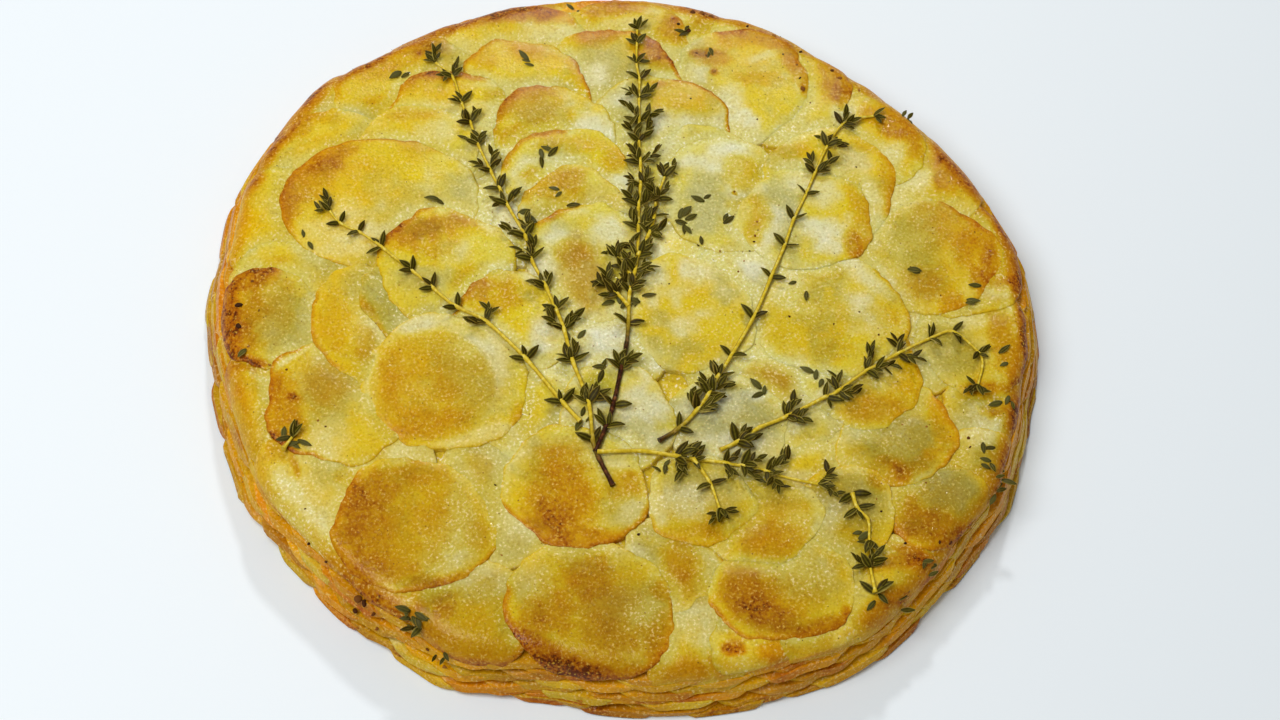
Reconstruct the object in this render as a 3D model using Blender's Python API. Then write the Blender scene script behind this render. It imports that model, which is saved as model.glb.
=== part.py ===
"""Pommes anna: a round cake of thin potato slices, turned out of its pan, with thyme sprigs on it.

The cake is one solid: a core of stacked layers whose edges show at the side, and the slices of
its top, which lay flat on the pan and so share one plane. Each slice dips under the ones over it
and bends down over the cake's shoulder. The sprigs lie clear on top, each one its own solid.
Lengths are metres, +Z is up, and the cake stands on z = 0 with its middle on the Z axis.
"""

import math
import random

import bmesh
import bpy
from mathutils import Matrix, Vector
from mathutils.bvhtree import BVHTree

MM = 0.001

# ---------------------------------------------------------------- sizes of the cake
CAKE_HEIGHT = 0.0200
BASE_RADIUS = 0.1240
OVAL, OVAL_TURN = 0.0029, math.radians(-22.7)  # a long way across, to the lower right
THREE_LOBES, THREE_TURN = 0.0008, math.radians(6.5)
FIVE_LOBES, FIVE_TURN = 0.0012, math.radians(8.1)
# Where the rim stands out or falls in: angle and half width in degrees, amount in millimetres.
BULGES = (
    (-153, 5, 1.8), (-142, 6, -1.3), (-116, 6, 2.8), (-103, 5, -1.6), (-60, 6, 1.4),
    (-30, 5, 1.7), (-13, 4, -1.4), (10, 5, 1.0), (63, 6, 1.2), (136, 6, 1.6), (165, 6, -1.8),
)
SHOULDER_RADIUS = 0.0080
WALL_SLOPE = math.radians(70.0)

CORE_LAYERS = 6
CORE_SIDES = 60
CORE_TOP_DROP = 0.00225  # the core's top lies this far under the pan's plane
CORE_BASE_INSET = -0.0006  # the scallops take this much off again
CORE_TOP_INSET = 0.0034
LAYER_EDGE_SHARE = 0.78  # of a layer's height, the rest is the groove over it
SCALLOP_DEPTH, SHALLOWEST_SCALLOP = 0.0016, 0.6  # the second is a share of the first
SLICES_ROUND_LEAST, SLICES_ROUND_MOST = 12, 17

# ---------------------------------------------------------------- sizes of the slices
SLICE_SIDES = 16
SLICE_STEP = 0.0011  # how far a slice dips under each one that covers it
DIP_LIMIT = 0.0021
DIP_FADE = 0.0060  # the dip begins this far outside the upper slice's edge
SLICE_DEPTH = 0.0032  # its underside is sunk in the core
RIM_DROP = 0.0003
MIDDLE_RING, UNDER_RING = 0.6, 0.96  # shares of the way to the edge
HANG_LEAST, HANG_MOST = 0.0085, 0.0125  # along the surface, past the start of the shoulder
WAVES_ROUND_EDGE = (2, 3, 5)
WAVE_LEAST, WAVE_MOST = 0.010, 0.045  # shares of a slice's radius
TRIM_STEPS = 12
FLAT_ANGLE = math.radians(2.0)  # faces that meet this flatly become one
LAYOUT_SHIFT = (-0.0002, -0.0017)  # from the middle of the slices' layout to the cake's

# The slices of the top from the lowest to the highest, in millimetres:
# x, y, half length, half width, turn of the length from X in degrees.
SLICES = (
    # the lowest ones inside the rim
    (-39, -58, 20, 21, 0), (-24, -30, 20, 19, 0), (-4, -8, 18, 18, 0), (-34, 39, 20, 20, 0),
    (15, 33, 20, 20, 0), (40, 12, 19, 19, 0), (34, -15, 19, 17, 0), (51, -52, 19, 17, 0),
    (84, -11, 18, 18, 0), (-78, -46, 21, 19, 0),
    # the lowest ones of the rim
    (-86, 73, 21, 21, 0), (-48, 92, 23, 20, 25), (22, 100, 21, 19, 0), (52, 92, 22, 20, -30),
    (-101, -25, 23, 21, 0), (16, -105, 18, 19, 0), (34, -106, 16, 16, 0), (55, -101, 18, 16, 0),
    (93, -74, 19, 18, -45), (108, -33, 17, 18, 0), (104, -10, 19, 19, 0), (103, 18, 20, 21, 0),
    (77, 69, 19, 18, 0),
    # those over them, round the rim
    (6, 96, 20, 21, 0), (-28, 95, 23, 20, 0), (-62, 80, 25, 20, 35), (-85, 55, 23, 21, 0),
    (-99, 33, 22, 22, 0), (-96, 7, 24, 23, 0), (-104, 3, 17, 17, 0), (-94, -62, 18, 27, 20),
    (-63, -91, 22, 22, 0), (101, -57, 18, 18, 0), (73, -92, 17, 18, 0), (95, 48, 20, 20, 0),
    (80, 61, 18, 17, 0), (56, 78, 20, 19, 0), (41, 83, 21, 22, 0),
    # the back
    (2, 85, 20, 20, 0), (-27, 80, 21, 21, 0), (-50, 68, 21, 21.5, 0), (-59, 60, 18, 17, 0),
    (14, 64, 23, 22.5, 0), (28, 48, 19, 19, 0), (-18, 64, 19, 19.5, 0), (-71, 42, 30, 23, 8),
    (-14, 49, 19.5, 19.5, 0), (34, 42, 20, 21, 0),
    # the right
    (92, 19, 22, 21, 0), (66, 46, 20, 20, 0), (87, -64, 16, 15, 0), (48, -27, 18, 17, 0),
    (77, -41, 17.5, 17, 0), (69, -21, 18, 18, 0), (62, -1, 22, 21, 0), (57, 33, 21, 18, 0),
    # the left and the middle
    (-12, 35, 18, 18, 0), (-84, -25, 22, 21, 0), (-75, 1, 17, 21, 0), (-58, 9, 20, 17.5, 0),
    (-9, 20, 19, 20, 0), (20, 1, 19, 20, 0), (-52, 20, 20, 20, 0), (-33, -1, 18, 18, 0),
    # the front
    (-48, -94, 18, 18, 0), (-64, -66, 23, 22, 0), (-53, -20, 24, 23, 0), (8, -80, 15, 15, 0),
    (60, -66, 15, 16, 0), (40, -89, 21, 17, 0), (35, -66, 17, 16, 0), (28, -37, 18, 17, 0),
    (18, -60, 16, 15, 0), (-4, -33, 17, 18, 0), (-15, -94, 24, 23, 0), (-17, -55, 21, 20, 0),
)

# ---------------------------------------------------------------- sizes of the thyme
CLEARANCE = 0.00035  # between a sprig and the pan's plane, and between two sprigs
STEM_SIDES = 5
STEM_RADIUS, TIP_RADIUS = 0.00075, 0.00035
STEM_POINT = 0.4  # the length of a stem's closed end, in its radii
LEAF_LENGTH, LEAF_WIDTH, LEAF_THICKNESS = 0.0052, 0.0021, 0.0005
LEAF_EDGE = ((0.34, 0.46), (0.74, 0.38))  # shares of the length and of the width
LEAF_CURL = 0.0003
LEAF_SIZES = (0.8, 1.15)  # the least and the most, in shares of the leaf above
ROOT_SHIFT = 0.0005  # so that no two leaves share a point or a plane
LEAF_SPREAD, LEAF_SPREAD_STEP = (28, 48), 14  # degrees from the stem, and more for each pair
LEAF_LIFT, LEAF_LIFT_STEP = (4, 20), 8
LEAF_SHARE = 0.4  # of the leaves at a joint of the stem, the share that is solid here

# The stems of each sprig, in millimetres: x, y and the number of leaves at that joint.
SPRIGS = {
    "thyme_sprig_bunch": (
        (
            (-6.5, -56, 0), (-10, -47, 0), (-11.5, -41, 2), (-12, -29, 6), (-16, -15, 5),
            (-18, -4, 7), (-20, 2.5, 4), (-22.5, 10, 5), (-26.5, 20, 6), (-28, 28, 8),
            (-33, 39.5, 5), (-35, 45, 4), (-37.5, 51.5, 6), (-41, 61, 5), (-43, 69, 5),
            (-45.5, 76.5, 4), (-48, 86, 5), (-53, 91.5, 5),
        ),
        (
            (-11, -45, 0), (-7.5, -37, 4), (-5, -30, 2), (-2, -18, 6), (0, -10, 0), (1, -3, 4),
            (2, 8, 8), (4, 15, 7), (5, 20, 8), (6, 30, 8), (6.5, 38, 6), (7.5, 45, 6), (8, 53, 8),
            (8, 61, 8), (8.5, 68, 9), (9, 77, 6), (9.5, 84, 3), (9, 90, 4), (9.5, 97, 4),
            (10, 102.5, 4),
        ),
        ((5, 20, 0), (9, 28, 5), (11, 34, 2), (12, 40, 5), (15, 48, 5)),
        (
            (-10.5, -45, 0), (3, -45, 0), (12, -47, 8), (17, -48, 4), (26, -49.5, 3),
            (31, -50.5, 5), (38, -52.5, 8), (46, -55.5, 0), (52.5, -57, 8),
        ),
        ((17, -48, 0), (21.5, -56, 2), (23.5, -64, 5)),
    ),
    "thyme_sprig_left": (
        (
            (-14.8, -35, 0), (-19.5, -28.5, 4), (-29.5, -14, 3), (-40.5, -1, 6), (-49, 4, 2),
            (-56, 11, 3), (-62, 17, 3), (-71, 25.5, 3), (-77.5, 31, 2), (-83, 34, 2),
            (-86, 38.5, 5),
        ),
    ),
    "thyme_sprig_right": (
        (
            (7.5, -42, 0), (13.5, -38, 2), (19, -32.5, 7), (23, -27, 7), (26, -21.5, 4),
            (30.5, -14.5, 2), (38, -2, 2), (44.5, 12, 2), (49.5, 23, 2), (53, 32, 2),
            (57.5, 41, 2), (61, 48.5, 7), (65.5, 58, 5), (71, 66, 5), (76, 68, 0), (81, 69, 3),
        ),
    ),
    "thyme_sprig_far_right": (
        (
            (25, -45.5, 0), (30, -43, 5), (37, -38.5, 0), (45, -35, 7), (57, -29, 3),
            (61, -27, 6), (70, -20.5, 9), (80, -15, 6), (90, -10, 4), (97, -8, 3), (104, -15, 4),
            (104.5, -20, 0), (102.5, -26, 5),
        ),
    ),
    "thyme_sprig_front": (((62, -60.5, 2), (63, -65, 3), (65.8, -69, 0), (65.5, -75.5, 4)),),
    "thyme_tip_front": (((65.5, -92, 3), (65, -84, 6)),),
    "thyme_tip_left": (((-100, -41.5, 0), (-97.5, -37.5, 7)),),
}


# ---------------------------------------------------------------- the pan's form
def base_radius(angle):
    """The cake's radius on the plate: a circle with a slight oval, a few lobes and bulges."""
    oval = OVAL * math.cos(2 * (angle - OVAL_TURN))
    three = THREE_LOBES * math.cos(3 * (angle - THREE_TURN))
    five = FIVE_LOBES * math.cos(5 * (angle - FIVE_TURN))
    return BASE_RADIUS + oval + three + five + sum(bulge(angle, *row) for row in BULGES)


def bulge(angle, middle, half_width, amount):
    away = math.remainder(angle - math.radians(middle), math.tau) / math.radians(half_width)
    return amount * MM * math.exp(-away * away)


def shoulder_start(angle):
    """The radius where the flat top ends."""
    wall_height = CAKE_HEIGHT - SHOULDER_RADIUS * (1 - math.cos(WALL_SLOPE))
    wall_run = wall_height / math.tan(WALL_SLOPE)
    return base_radius(angle) - wall_run - SHOULDER_RADIUS * math.sin(WALL_SLOPE)


def on_pan(along, angle, depth):
    """The point at a distance along the pan's surface from its middle, depth under that surface."""
    start = shoulder_start(angle)
    past = max(along - start, 0.0)
    slope = min(past / SHOULDER_RADIUS, WALL_SLOPE)
    down_wall = past - slope * SHOULDER_RADIUS
    radius = min(along, start) + SHOULDER_RADIUS * math.sin(slope) + down_wall * math.cos(slope)
    height = CAKE_HEIGHT - SHOULDER_RADIUS * (1 - math.cos(slope)) - down_wall * math.sin(slope)
    radius -= depth * math.sin(slope)
    height -= depth * math.cos(slope)
    return Vector((radius * math.cos(angle), radius * math.sin(angle), height))


# ---------------------------------------------------------------- the slices
class Slice:
    """One slice of the top: a slightly uneven ellipse in the unrolled plane of the pan."""

    def __init__(self, index, x, y, half_length, half_width, turn):
        self.x = x * MM + LAYOUT_SHIFT[0]
        self.y = y * MM + LAYOUT_SHIFT[1]
        self.half_length = half_length * MM
        self.half_width = half_width * MM
        self.turn = math.radians(turn)
        draw = random.Random(index)
        self.waves = [
            (count, draw.uniform(WAVE_LEAST, WAVE_MOST), draw.uniform(0, math.tau))
            for count in WAVES_ROUND_EDGE
        ]
        self.hang = draw.uniform(HANG_LEAST, HANG_MOST)

    def wobble(self, bearing):
        return 1 + sum(size * math.sin(n * bearing + phase) for n, size, phase in self.waves)

    def edge_share(self, x, y):
        """0 in the middle of the slice and 1 on its edge."""
        dx, dy = x - self.x, y - self.y
        u = (dx * math.cos(self.turn) + dy * math.sin(self.turn)) / self.half_length
        v = (dy * math.cos(self.turn) - dx * math.sin(self.turn)) / self.half_width
        return math.hypot(u, v) / self.wobble(math.atan2(v, u))

    def trimmed(self, bearing):
        """The share of the full radius at which the slice ends, where it hangs down the wall."""
        if self.hangs_free(1.0, bearing):
            return 1.0
        low, high = 0.0, 1.0
        for _ in range(TRIM_STEPS):
            middle = (low + high) / 2
            low, high = (middle, high) if self.hangs_free(middle, bearing) else (low, middle)
        return low

    def hangs_free(self, share, bearing):
        x, y = self.point(share, bearing)
        return math.hypot(x, y) <= shoulder_start(math.atan2(y, x)) + self.hang

    def point(self, share, bearing):
        """A point of the unrolled plane, at a share of the way to the edge."""
        u = share * self.wobble(bearing) * self.half_length * math.cos(bearing)
        v = share * self.wobble(bearing) * self.half_width * math.sin(bearing)
        x = self.x + u * math.cos(self.turn) - v * math.sin(self.turn)
        y = self.y + u * math.sin(self.turn) + v * math.cos(self.turn)
        return x, y


def smooth(share):
    share = min(max(share, 0.0), 1.0)
    return share * share * (3 - 2 * share)


def dip(x, y, slices_over):
    """How far a slice dips at a point, under the slices that lie over it."""
    total = 0.0
    for other in slices_over:
        outside = (other.edge_share(x, y) - 1) * other.half_width
        total += SLICE_STEP * smooth(1 - outside / DIP_FADE)
    return DIP_LIMIT * math.tanh(total / DIP_LIMIT)


def slice_point(piece, slices_over, share, bearing, depth):
    x, y = piece.point(share, bearing)
    return on_pan(math.hypot(x, y), math.atan2(y, x), dip(x, y, slices_over) + depth)


def slice_object(piece, slices_over):
    """The solid of one slice, from its middle out to its rim and back under itself."""
    mesh = bmesh.new()

    def place(share, bearing, depth):
        return mesh.verts.new(slice_point(piece, slices_over, share, bearing, depth))

    bearings = [math.tau * k / SLICE_SIDES for k in range(SLICE_SIDES)]
    ends = [piece.trimmed(bearing) for bearing in bearings]
    rings = [
        [place(ring * end, bearing, depth) for bearing, end in zip(bearings, ends)]
        for ring, depth in ((MIDDLE_RING, 0), (1.0, RIM_DROP), (UNDER_RING, SLICE_DEPTH))
    ]
    close_rings(mesh, rings, place(0, 0, 0), place(0, 0, SLICE_DEPTH))
    return new_object("slice", mesh)


def close_rings(mesh, rings, first, last):
    """Faces from a first point through rings of points to a last point, facing outward."""
    count = len(rings[0])
    for k in range(count):
        after = (k + 1) % count
        mesh.faces.new((first, rings[0][k], rings[0][after]))
        for inner, outer in zip(rings, rings[1:]):
            mesh.faces.new((inner[k], outer[k], outer[after]))
            mesh.faces.new((inner[k], outer[after], inner[after]))
        mesh.faces.new((last, rings[-1][after], rings[-1][k]))


# ---------------------------------------------------------------- the core
def core_radius(layer, share, angle):
    """The radius of a layer's edge: the pan's wall, set in and scalloped by the slices in it."""
    height = (CAKE_HEIGHT - CORE_TOP_DROP) * (layer + share) / CORE_LAYERS
    level = height / CAKE_HEIGHT
    wall = base_radius(angle) - height / math.tan(WALL_SLOPE)
    inset = CORE_BASE_INSET + (CORE_TOP_INSET - CORE_BASE_INSET) * level**3
    draw = random.Random(layer)
    slices_round = draw.randint(SLICES_ROUND_LEAST, SLICES_ROUND_MOST)
    turn = draw.uniform(0, math.tau)
    scallop = SCALLOP_DEPTH * (1 - abs(math.cos(slices_round * (angle - turn) / 2)))
    return wall - inset - scallop * draw.uniform(SHALLOWEST_SCALLOP, 1.0)


def core_object():
    """A stack of layers, each with an upright edge, joined by the grooves between them."""
    mesh = bmesh.new()
    angles = [math.tau * k / CORE_SIDES for k in range(CORE_SIDES)]
    layer_height = (CAKE_HEIGHT - CORE_TOP_DROP) / CORE_LAYERS
    rings = []
    for layer in reversed(range(CORE_LAYERS)):
        top_share = 1.0 if layer == CORE_LAYERS - 1 else LAYER_EDGE_SHARE
        for share in (top_share, 0.0):
            radii = [core_radius(layer, share, a) for a in angles]
            height = (layer + share) * layer_height
            rings.append(
                [
                    mesh.verts.new((r * math.cos(a), r * math.sin(a), height))
                    for r, a in zip(radii, angles)
                ]
            )
    top = mesh.verts.new((0, 0, CAKE_HEIGHT - CORE_TOP_DROP))
    bottom = mesh.verts.new((0, 0, 0))
    close_rings(mesh, rings, top, bottom)
    return new_object("potato_cake", mesh)


def build_cake():
    slices = [Slice(index, *row) for index, row in enumerate(SLICES)]
    pieces = [slice_object(piece, slices[k + 1:]) for k, piece in enumerate(slices)]
    cake = core_object()
    join(cake, pieces)
    return cake


# ---------------------------------------------------------------- the thyme
def frame_along(points, index):
    """The direction of a path at one of its points, and the two directions across it."""
    before = points[max(index - 1, 0)]
    after = points[min(index + 1, len(points) - 1)]
    ahead = (after - before).normalized()
    side = ahead.cross(Vector((0, 0, 1))).normalized()
    return ahead, side, side.cross(ahead)


def stem_object(points, radii):
    """A five-sided tube along the points, with a closed point at each end."""
    mesh = bmesh.new()
    rings = []
    for index, (point, radius) in enumerate(zip(points, radii)):
        ahead, side, up = frame_along(points, index)
        turns = [math.tau * k / STEM_SIDES + math.pi / 2 for k in range(STEM_SIDES)]
        rings.append(
            [mesh.verts.new(point + radius * (math.cos(t) * side + math.sin(t) * up)) for t in turns]
        )
    first_ahead = frame_along(points, 0)[0]
    last_ahead = frame_along(points, len(points) - 1)[0]
    first = mesh.verts.new(points[0] - STEM_POINT * radii[0] * first_ahead)
    last = mesh.verts.new(points[-1] + STEM_POINT * radii[-1] * last_ahead)
    close_rings(mesh, rings, first, last)
    return new_object("stem", mesh)


def leaf_object(root, heading, lift, length, width, lowest):
    """A thin leaf, folded a little along its middle, with both faces split alike."""
    level = Vector((math.cos(heading), math.sin(heading), 0))
    ahead = math.cos(lift) * level + math.sin(lift) * Vector((0, 0, 1))
    side = Vector((-math.sin(heading), math.cos(heading), 0))
    up = ahead.cross(side)
    mesh = bmesh.new()

    def place(along, across, raised):
        point = root + along * length * ahead + across * width * side + raised * up
        point.z = max(point.z, lowest)
        return mesh.verts.new(point)

    left = [place(along, across, LEAF_CURL) for along, across in LEAF_EDGE]
    right = [place(along, -across, LEAF_CURL) for along, across in LEAF_EDGE]
    edge = [place(0.0, 0.0, 0.0), *right, place(1.0, 0.0, LEAF_CURL), *reversed(left)]
    above = place(0.5, 0.0, LEAF_THICKNESS / 2)
    below = place(0.5, 0.0, -LEAF_THICKNESS / 2)
    for first, second in zip(edge, edge[1:] + edge[:1]):
        mesh.faces.new((above, first, second))
        mesh.faces.new((below, second, first))
    return new_object("leaf", mesh)


def stem_points(joints):
    rest = CAKE_HEIGHT + CLEARANCE + STEM_RADIUS
    return [Vector((x * MM + LAYOUT_SHIFT[0], y * MM + LAYOUT_SHIFT[1], rest)) for x, y, _ in joints]


def leaves_at(point, ahead, count, draw):
    """Leaves at one joint: they stand out to both sides in turn and lean along the stem."""
    bearing = math.atan2(ahead.y, ahead.x)
    leaves = []
    for k in range(count):
        side = 1 if k % 2 else -1
        spread = math.radians(draw.uniform(*LEAF_SPREAD) + LEAF_SPREAD_STEP * (k // 2))
        lift = math.radians(draw.uniform(*LEAF_LIFT) + LEAF_LIFT_STEP * (k // 2))
        length = LEAF_LENGTH * draw.uniform(*LEAF_SIZES)
        width = LEAF_WIDTH * draw.uniform(*LEAF_SIZES)
        root = point + draw.uniform(-ROOT_SHIFT, ROOT_SHIFT) * ahead
        lowest = CAKE_HEIGHT + CLEARANCE + draw.uniform(0, ROOT_SHIFT)
        leaves.append(leaf_object(root, bearing + side * spread, lift, length, width, lowest))
    return leaves


def touches(piece, trees):
    """Whether a piece comes within the clearance of a sprig that is already there."""
    for vert in piece.data.vertices:
        for tree in trees:
            if tree.find_nearest(vert.co, CLEARANCE)[0] is not None:
                return True
    own = BVHTree.FromPolygons(
        [v.co for v in piece.data.vertices], [list(p.vertices) for p in piece.data.polygons]
    )
    return any(own.overlap(tree) for tree in trees)


def build_sprig(name, stems, others):
    draw = random.Random(name)
    pieces = []
    leaves = []
    for joints in stems:
        points = stem_points(joints)
        last = len(points) - 1
        radii = [STEM_RADIUS + (TIP_RADIUS - STEM_RADIUS) * k / last for k in range(last + 1)]
        pieces.append(stem_object(points, radii))
        for index, (point, joint) in enumerate(zip(points, joints)):
            count = min(joint[2], max(1, round(joint[2] * LEAF_SHARE)))
            leaves += leaves_at(point, frame_along(points, index)[0], count, draw)
    for leaf in leaves:
        if touches(leaf, others):
            bpy.data.objects.remove(leaf)
        else:
            pieces.append(leaf)
    sprig = pieces[0]
    sprig.name = name
    join(sprig, pieces[1:])
    return sprig


# ---------------------------------------------------------------- Blender objects
def new_object(name, mesh):
    data = bpy.data.meshes.new(name)
    mesh.to_mesh(data)
    mesh.free()
    piece = bpy.data.objects.new(name, data)
    bpy.context.scene.collection.objects.link(piece)
    return piece


def join(base, pieces):
    """Joins the pieces to the base by one Boolean union and keeps the one outer body."""
    group = bpy.data.collections.new("joined")
    for piece in pieces:
        group.objects.link(piece)
    union = base.modifiers.new("union", "BOOLEAN")
    union.operation = "UNION"
    union.operand_type = "COLLECTION"
    union.collection = group
    union.solver = "EXACT"
    bpy.context.view_layer.update()
    evaluated = base.evaluated_get(bpy.context.evaluated_depsgraph_get())
    joined = bpy.data.meshes.new_from_object(evaluated)
    base.modifiers.clear()
    base.data = joined
    for piece in pieces:
        bpy.data.objects.remove(piece)
    bpy.data.collections.remove(group)
    keep_outer_body(joined)


def keep_outer_body(data):
    """Drops what doesn't hang together with the largest body: hollows and loose scraps."""
    mesh = bmesh.new()
    mesh.from_mesh(data)
    mesh.verts.ensure_lookup_table()
    left = set(mesh.verts)
    bodies = []
    while left:
        body = {left.pop()}
        front = list(body)
        while front:
            for edge in front.pop().link_edges:
                for vert in edge.verts:
                    if vert in left:
                        left.remove(vert)
                        body.add(vert)
                        front.append(vert)
        bodies.append(body)
    bodies.sort(key=len)
    for body in bodies[:-1]:
        bmesh.ops.delete(mesh, geom=list(body), context="VERTS")
    bmesh.ops.dissolve_limit(mesh, angle_limit=FLAT_ANGLE, verts=mesh.verts, edges=mesh.edges)
    bmesh.ops.triangulate(mesh, faces=mesh.faces)
    mesh.to_mesh(data)
    mesh.free()


def material(name, colour, roughness):
    made = bpy.data.materials.new(name)
    made.use_nodes = True
    shader = made.node_tree.nodes["Principled BSDF"]
    shader.inputs["Base Color"].default_value = (*colour, 1.0)
    shader.inputs["Roughness"].default_value = roughness
    shader.inputs["Metallic"].default_value = 0.0
    made.diffuse_color = (*colour, 1.0)
    return made


def finish(piece, surface):
    piece.data.materials.clear()
    piece.data.materials.append(surface)
    piece.data.shade_smooth()
    piece.data.set_sharp_from_angle(angle=math.radians(35))


def stand_on_origin(cake):
    """Moves everything so that the middle of the cake's own box is on the Z axis."""
    xs = [vert.co.x for vert in cake.data.vertices]
    ys = [vert.co.y for vert in cake.data.vertices]
    middle = Vector(((min(xs) + max(xs)) / 2, (min(ys) + max(ys)) / 2, 0.0))
    for piece in bpy.data.objects:
        piece.data.transform(Matrix.Translation(-middle))
    print("moved by", [round(-value / MM, 3) for value in middle], "mm")


def main():
    for old in list(bpy.data.objects):
        bpy.data.objects.remove(old)
    cake = build_cake()
    finish(cake, material("baked_potato", (0.62, 0.46, 0.12), 0.45))
    trees = []
    for name, stems in SPRIGS.items():
        sprig = build_sprig(name, stems, trees)
        finish(sprig, material(name + "_green", (0.06, 0.08, 0.02), 0.6))
        trees.append(BVHTree.FromObject(sprig, bpy.context.evaluated_depsgraph_get()))
    stand_on_origin(cake)


main()
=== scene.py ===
# %% [markdown]
# # Pommes anna
# Thin slices of potato are laid in overlapping rings in a buttered pan, baked and turned out, so
# that the slices which lay on the pan are now the top. Sprigs of thyme lie on it. This lesson
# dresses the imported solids: every slice becomes its own thin sheet, browned where it touched the
# hot pan, and the thyme gets its full leaves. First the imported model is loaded, as the fixed frame
# for all of it.

# %% Load the frame
import math
import random

import bpy
import numpy as np
from mathutils import Matrix, Vector


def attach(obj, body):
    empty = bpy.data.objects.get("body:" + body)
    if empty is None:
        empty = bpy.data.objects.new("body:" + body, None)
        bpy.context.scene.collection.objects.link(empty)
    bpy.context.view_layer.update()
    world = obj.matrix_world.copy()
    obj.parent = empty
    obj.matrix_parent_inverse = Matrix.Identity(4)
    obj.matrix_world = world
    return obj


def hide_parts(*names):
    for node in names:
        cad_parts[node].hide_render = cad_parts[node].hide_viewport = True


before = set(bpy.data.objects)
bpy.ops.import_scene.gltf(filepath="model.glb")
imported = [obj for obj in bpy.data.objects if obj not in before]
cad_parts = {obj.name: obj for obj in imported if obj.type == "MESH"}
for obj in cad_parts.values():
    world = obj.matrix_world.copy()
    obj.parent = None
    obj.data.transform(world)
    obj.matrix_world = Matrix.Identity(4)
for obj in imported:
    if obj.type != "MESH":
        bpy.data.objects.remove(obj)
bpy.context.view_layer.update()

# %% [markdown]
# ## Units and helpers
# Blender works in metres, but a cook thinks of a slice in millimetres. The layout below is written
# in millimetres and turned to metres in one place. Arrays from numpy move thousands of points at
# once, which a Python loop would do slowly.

MM = 0.001
LAYOUT_SHIFT = (-0.0002, -0.0017)  # from the middle of the slices' layout to the pan's
PAN_SHIFT = (-0.001429, -0.000116)  # from the middle of the pan to that of the cake's own box


def smooth(share):
    """An even S-curve from 0 to 1."""
    share = np.clip(share, 0.0, 1.0)
    return share * share * (3 - 2 * share)


def wander(x, y, size, seed):
    """Smooth random values from -1 to 1 that change over about this size."""
    u, v = x / size + 17.3 * seed, y / size - 9.1 * seed
    i, j = np.floor(u), np.floor(v)

    def corner(a, b):
        # a sine with such large uneven factors has no pattern that the eye would find
        wave = np.sin((i + a) * 127.1 + (j + b) * 311.7 + seed * 74.7) * 43758.5453
        return 2 * (wave - np.floor(wave)) - 1

    along, up = smooth(u - i), smooth(v - j)
    near = corner(0, 0) * (1 - along) + corner(1, 0) * along
    far = corner(0, 1) * (1 - along) + corner(1, 1) * along
    return near * (1 - up) + far * up


# %% [markdown]
# ## The pan's form
# The cake took its outline, flat top and rounded shoulder from its pan. A slice is bent on it like
# paper on a tin: a distance along the surface is turned into a place on the flat, then round the
# shoulder, then down the wall. One function does this for every slice, so they all share one form.

# %% The pan
CAKE_HEIGHT = 0.0200
BASE_RADIUS = 0.1240
OVAL, OVAL_TURN = 0.0029, math.radians(-22.7)
THREE_LOBES, THREE_TURN = 0.0008, math.radians(6.5)
FIVE_LOBES, FIVE_TURN = 0.0012, math.radians(8.1)
# Where the rim stands out or falls in: angle and half width in degrees, amount in millimetres.
BULGES = (
    (-153, 5, 1.8), (-142, 6, -1.3), (-116, 6, 2.8), (-103, 5, -1.6), (-60, 6, 1.4),
    (-30, 5, 1.7), (-13, 4, -1.4), (10, 5, 1.0), (63, 6, 1.2), (136, 6, 1.6), (165, 6, -1.8),
)
SHOULDER_RADIUS = 0.0080
WALL_SLOPE = math.radians(70.0)


def base_radius(angle):
    """The cake's radius at its foot, at each angle."""
    radius = BASE_RADIUS + OVAL * np.cos(2 * (angle - OVAL_TURN))
    radius = radius + THREE_LOBES * np.cos(3 * (angle - THREE_TURN))
    radius = radius + FIVE_LOBES * np.cos(5 * (angle - FIVE_TURN))
    for middle, half_width, amount in BULGES:
        away = np.angle(np.exp(1j * (angle - math.radians(middle)))) / math.radians(half_width)
        radius = radius + amount * MM * np.exp(-away * away)
    return radius


def shoulder_start(angle):
    """The radius where the flat top ends."""
    wall_height = CAKE_HEIGHT - SHOULDER_RADIUS * (1 - math.cos(WALL_SLOPE))
    wall_run = wall_height / math.tan(WALL_SLOPE)
    return base_radius(angle) - wall_run - SHOULDER_RADIUS * math.sin(WALL_SLOPE)


# %% Bending on the pan
def about_pan(radius, angle, height):
    """Points at a radius and an angle about the pan's middle, at a height."""
    spots = np.stack([radius * np.cos(angle), radius * np.sin(angle), height], axis=1)
    return spots + np.array([*PAN_SHIFT, 0.0])


def on_pan(x, y, depth):
    """Points of the unrolled surface, laid on the pan and sunk in by a depth."""
    along, angle = np.hypot(x, y), np.arctan2(y, x)
    start = shoulder_start(angle)
    past = np.maximum(along - start, 0.0)
    slope = np.minimum(past / SHOULDER_RADIUS, WALL_SLOPE)
    down = past - slope * SHOULDER_RADIUS
    radius = np.minimum(along, start) + SHOULDER_RADIUS * np.sin(slope) + down * np.cos(slope)
    height = CAKE_HEIGHT - SHOULDER_RADIUS * (1 - np.cos(slope)) - down * np.sin(slope)
    return about_pan(radius - depth * np.sin(slope), angle, height - depth * np.cos(slope))
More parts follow.
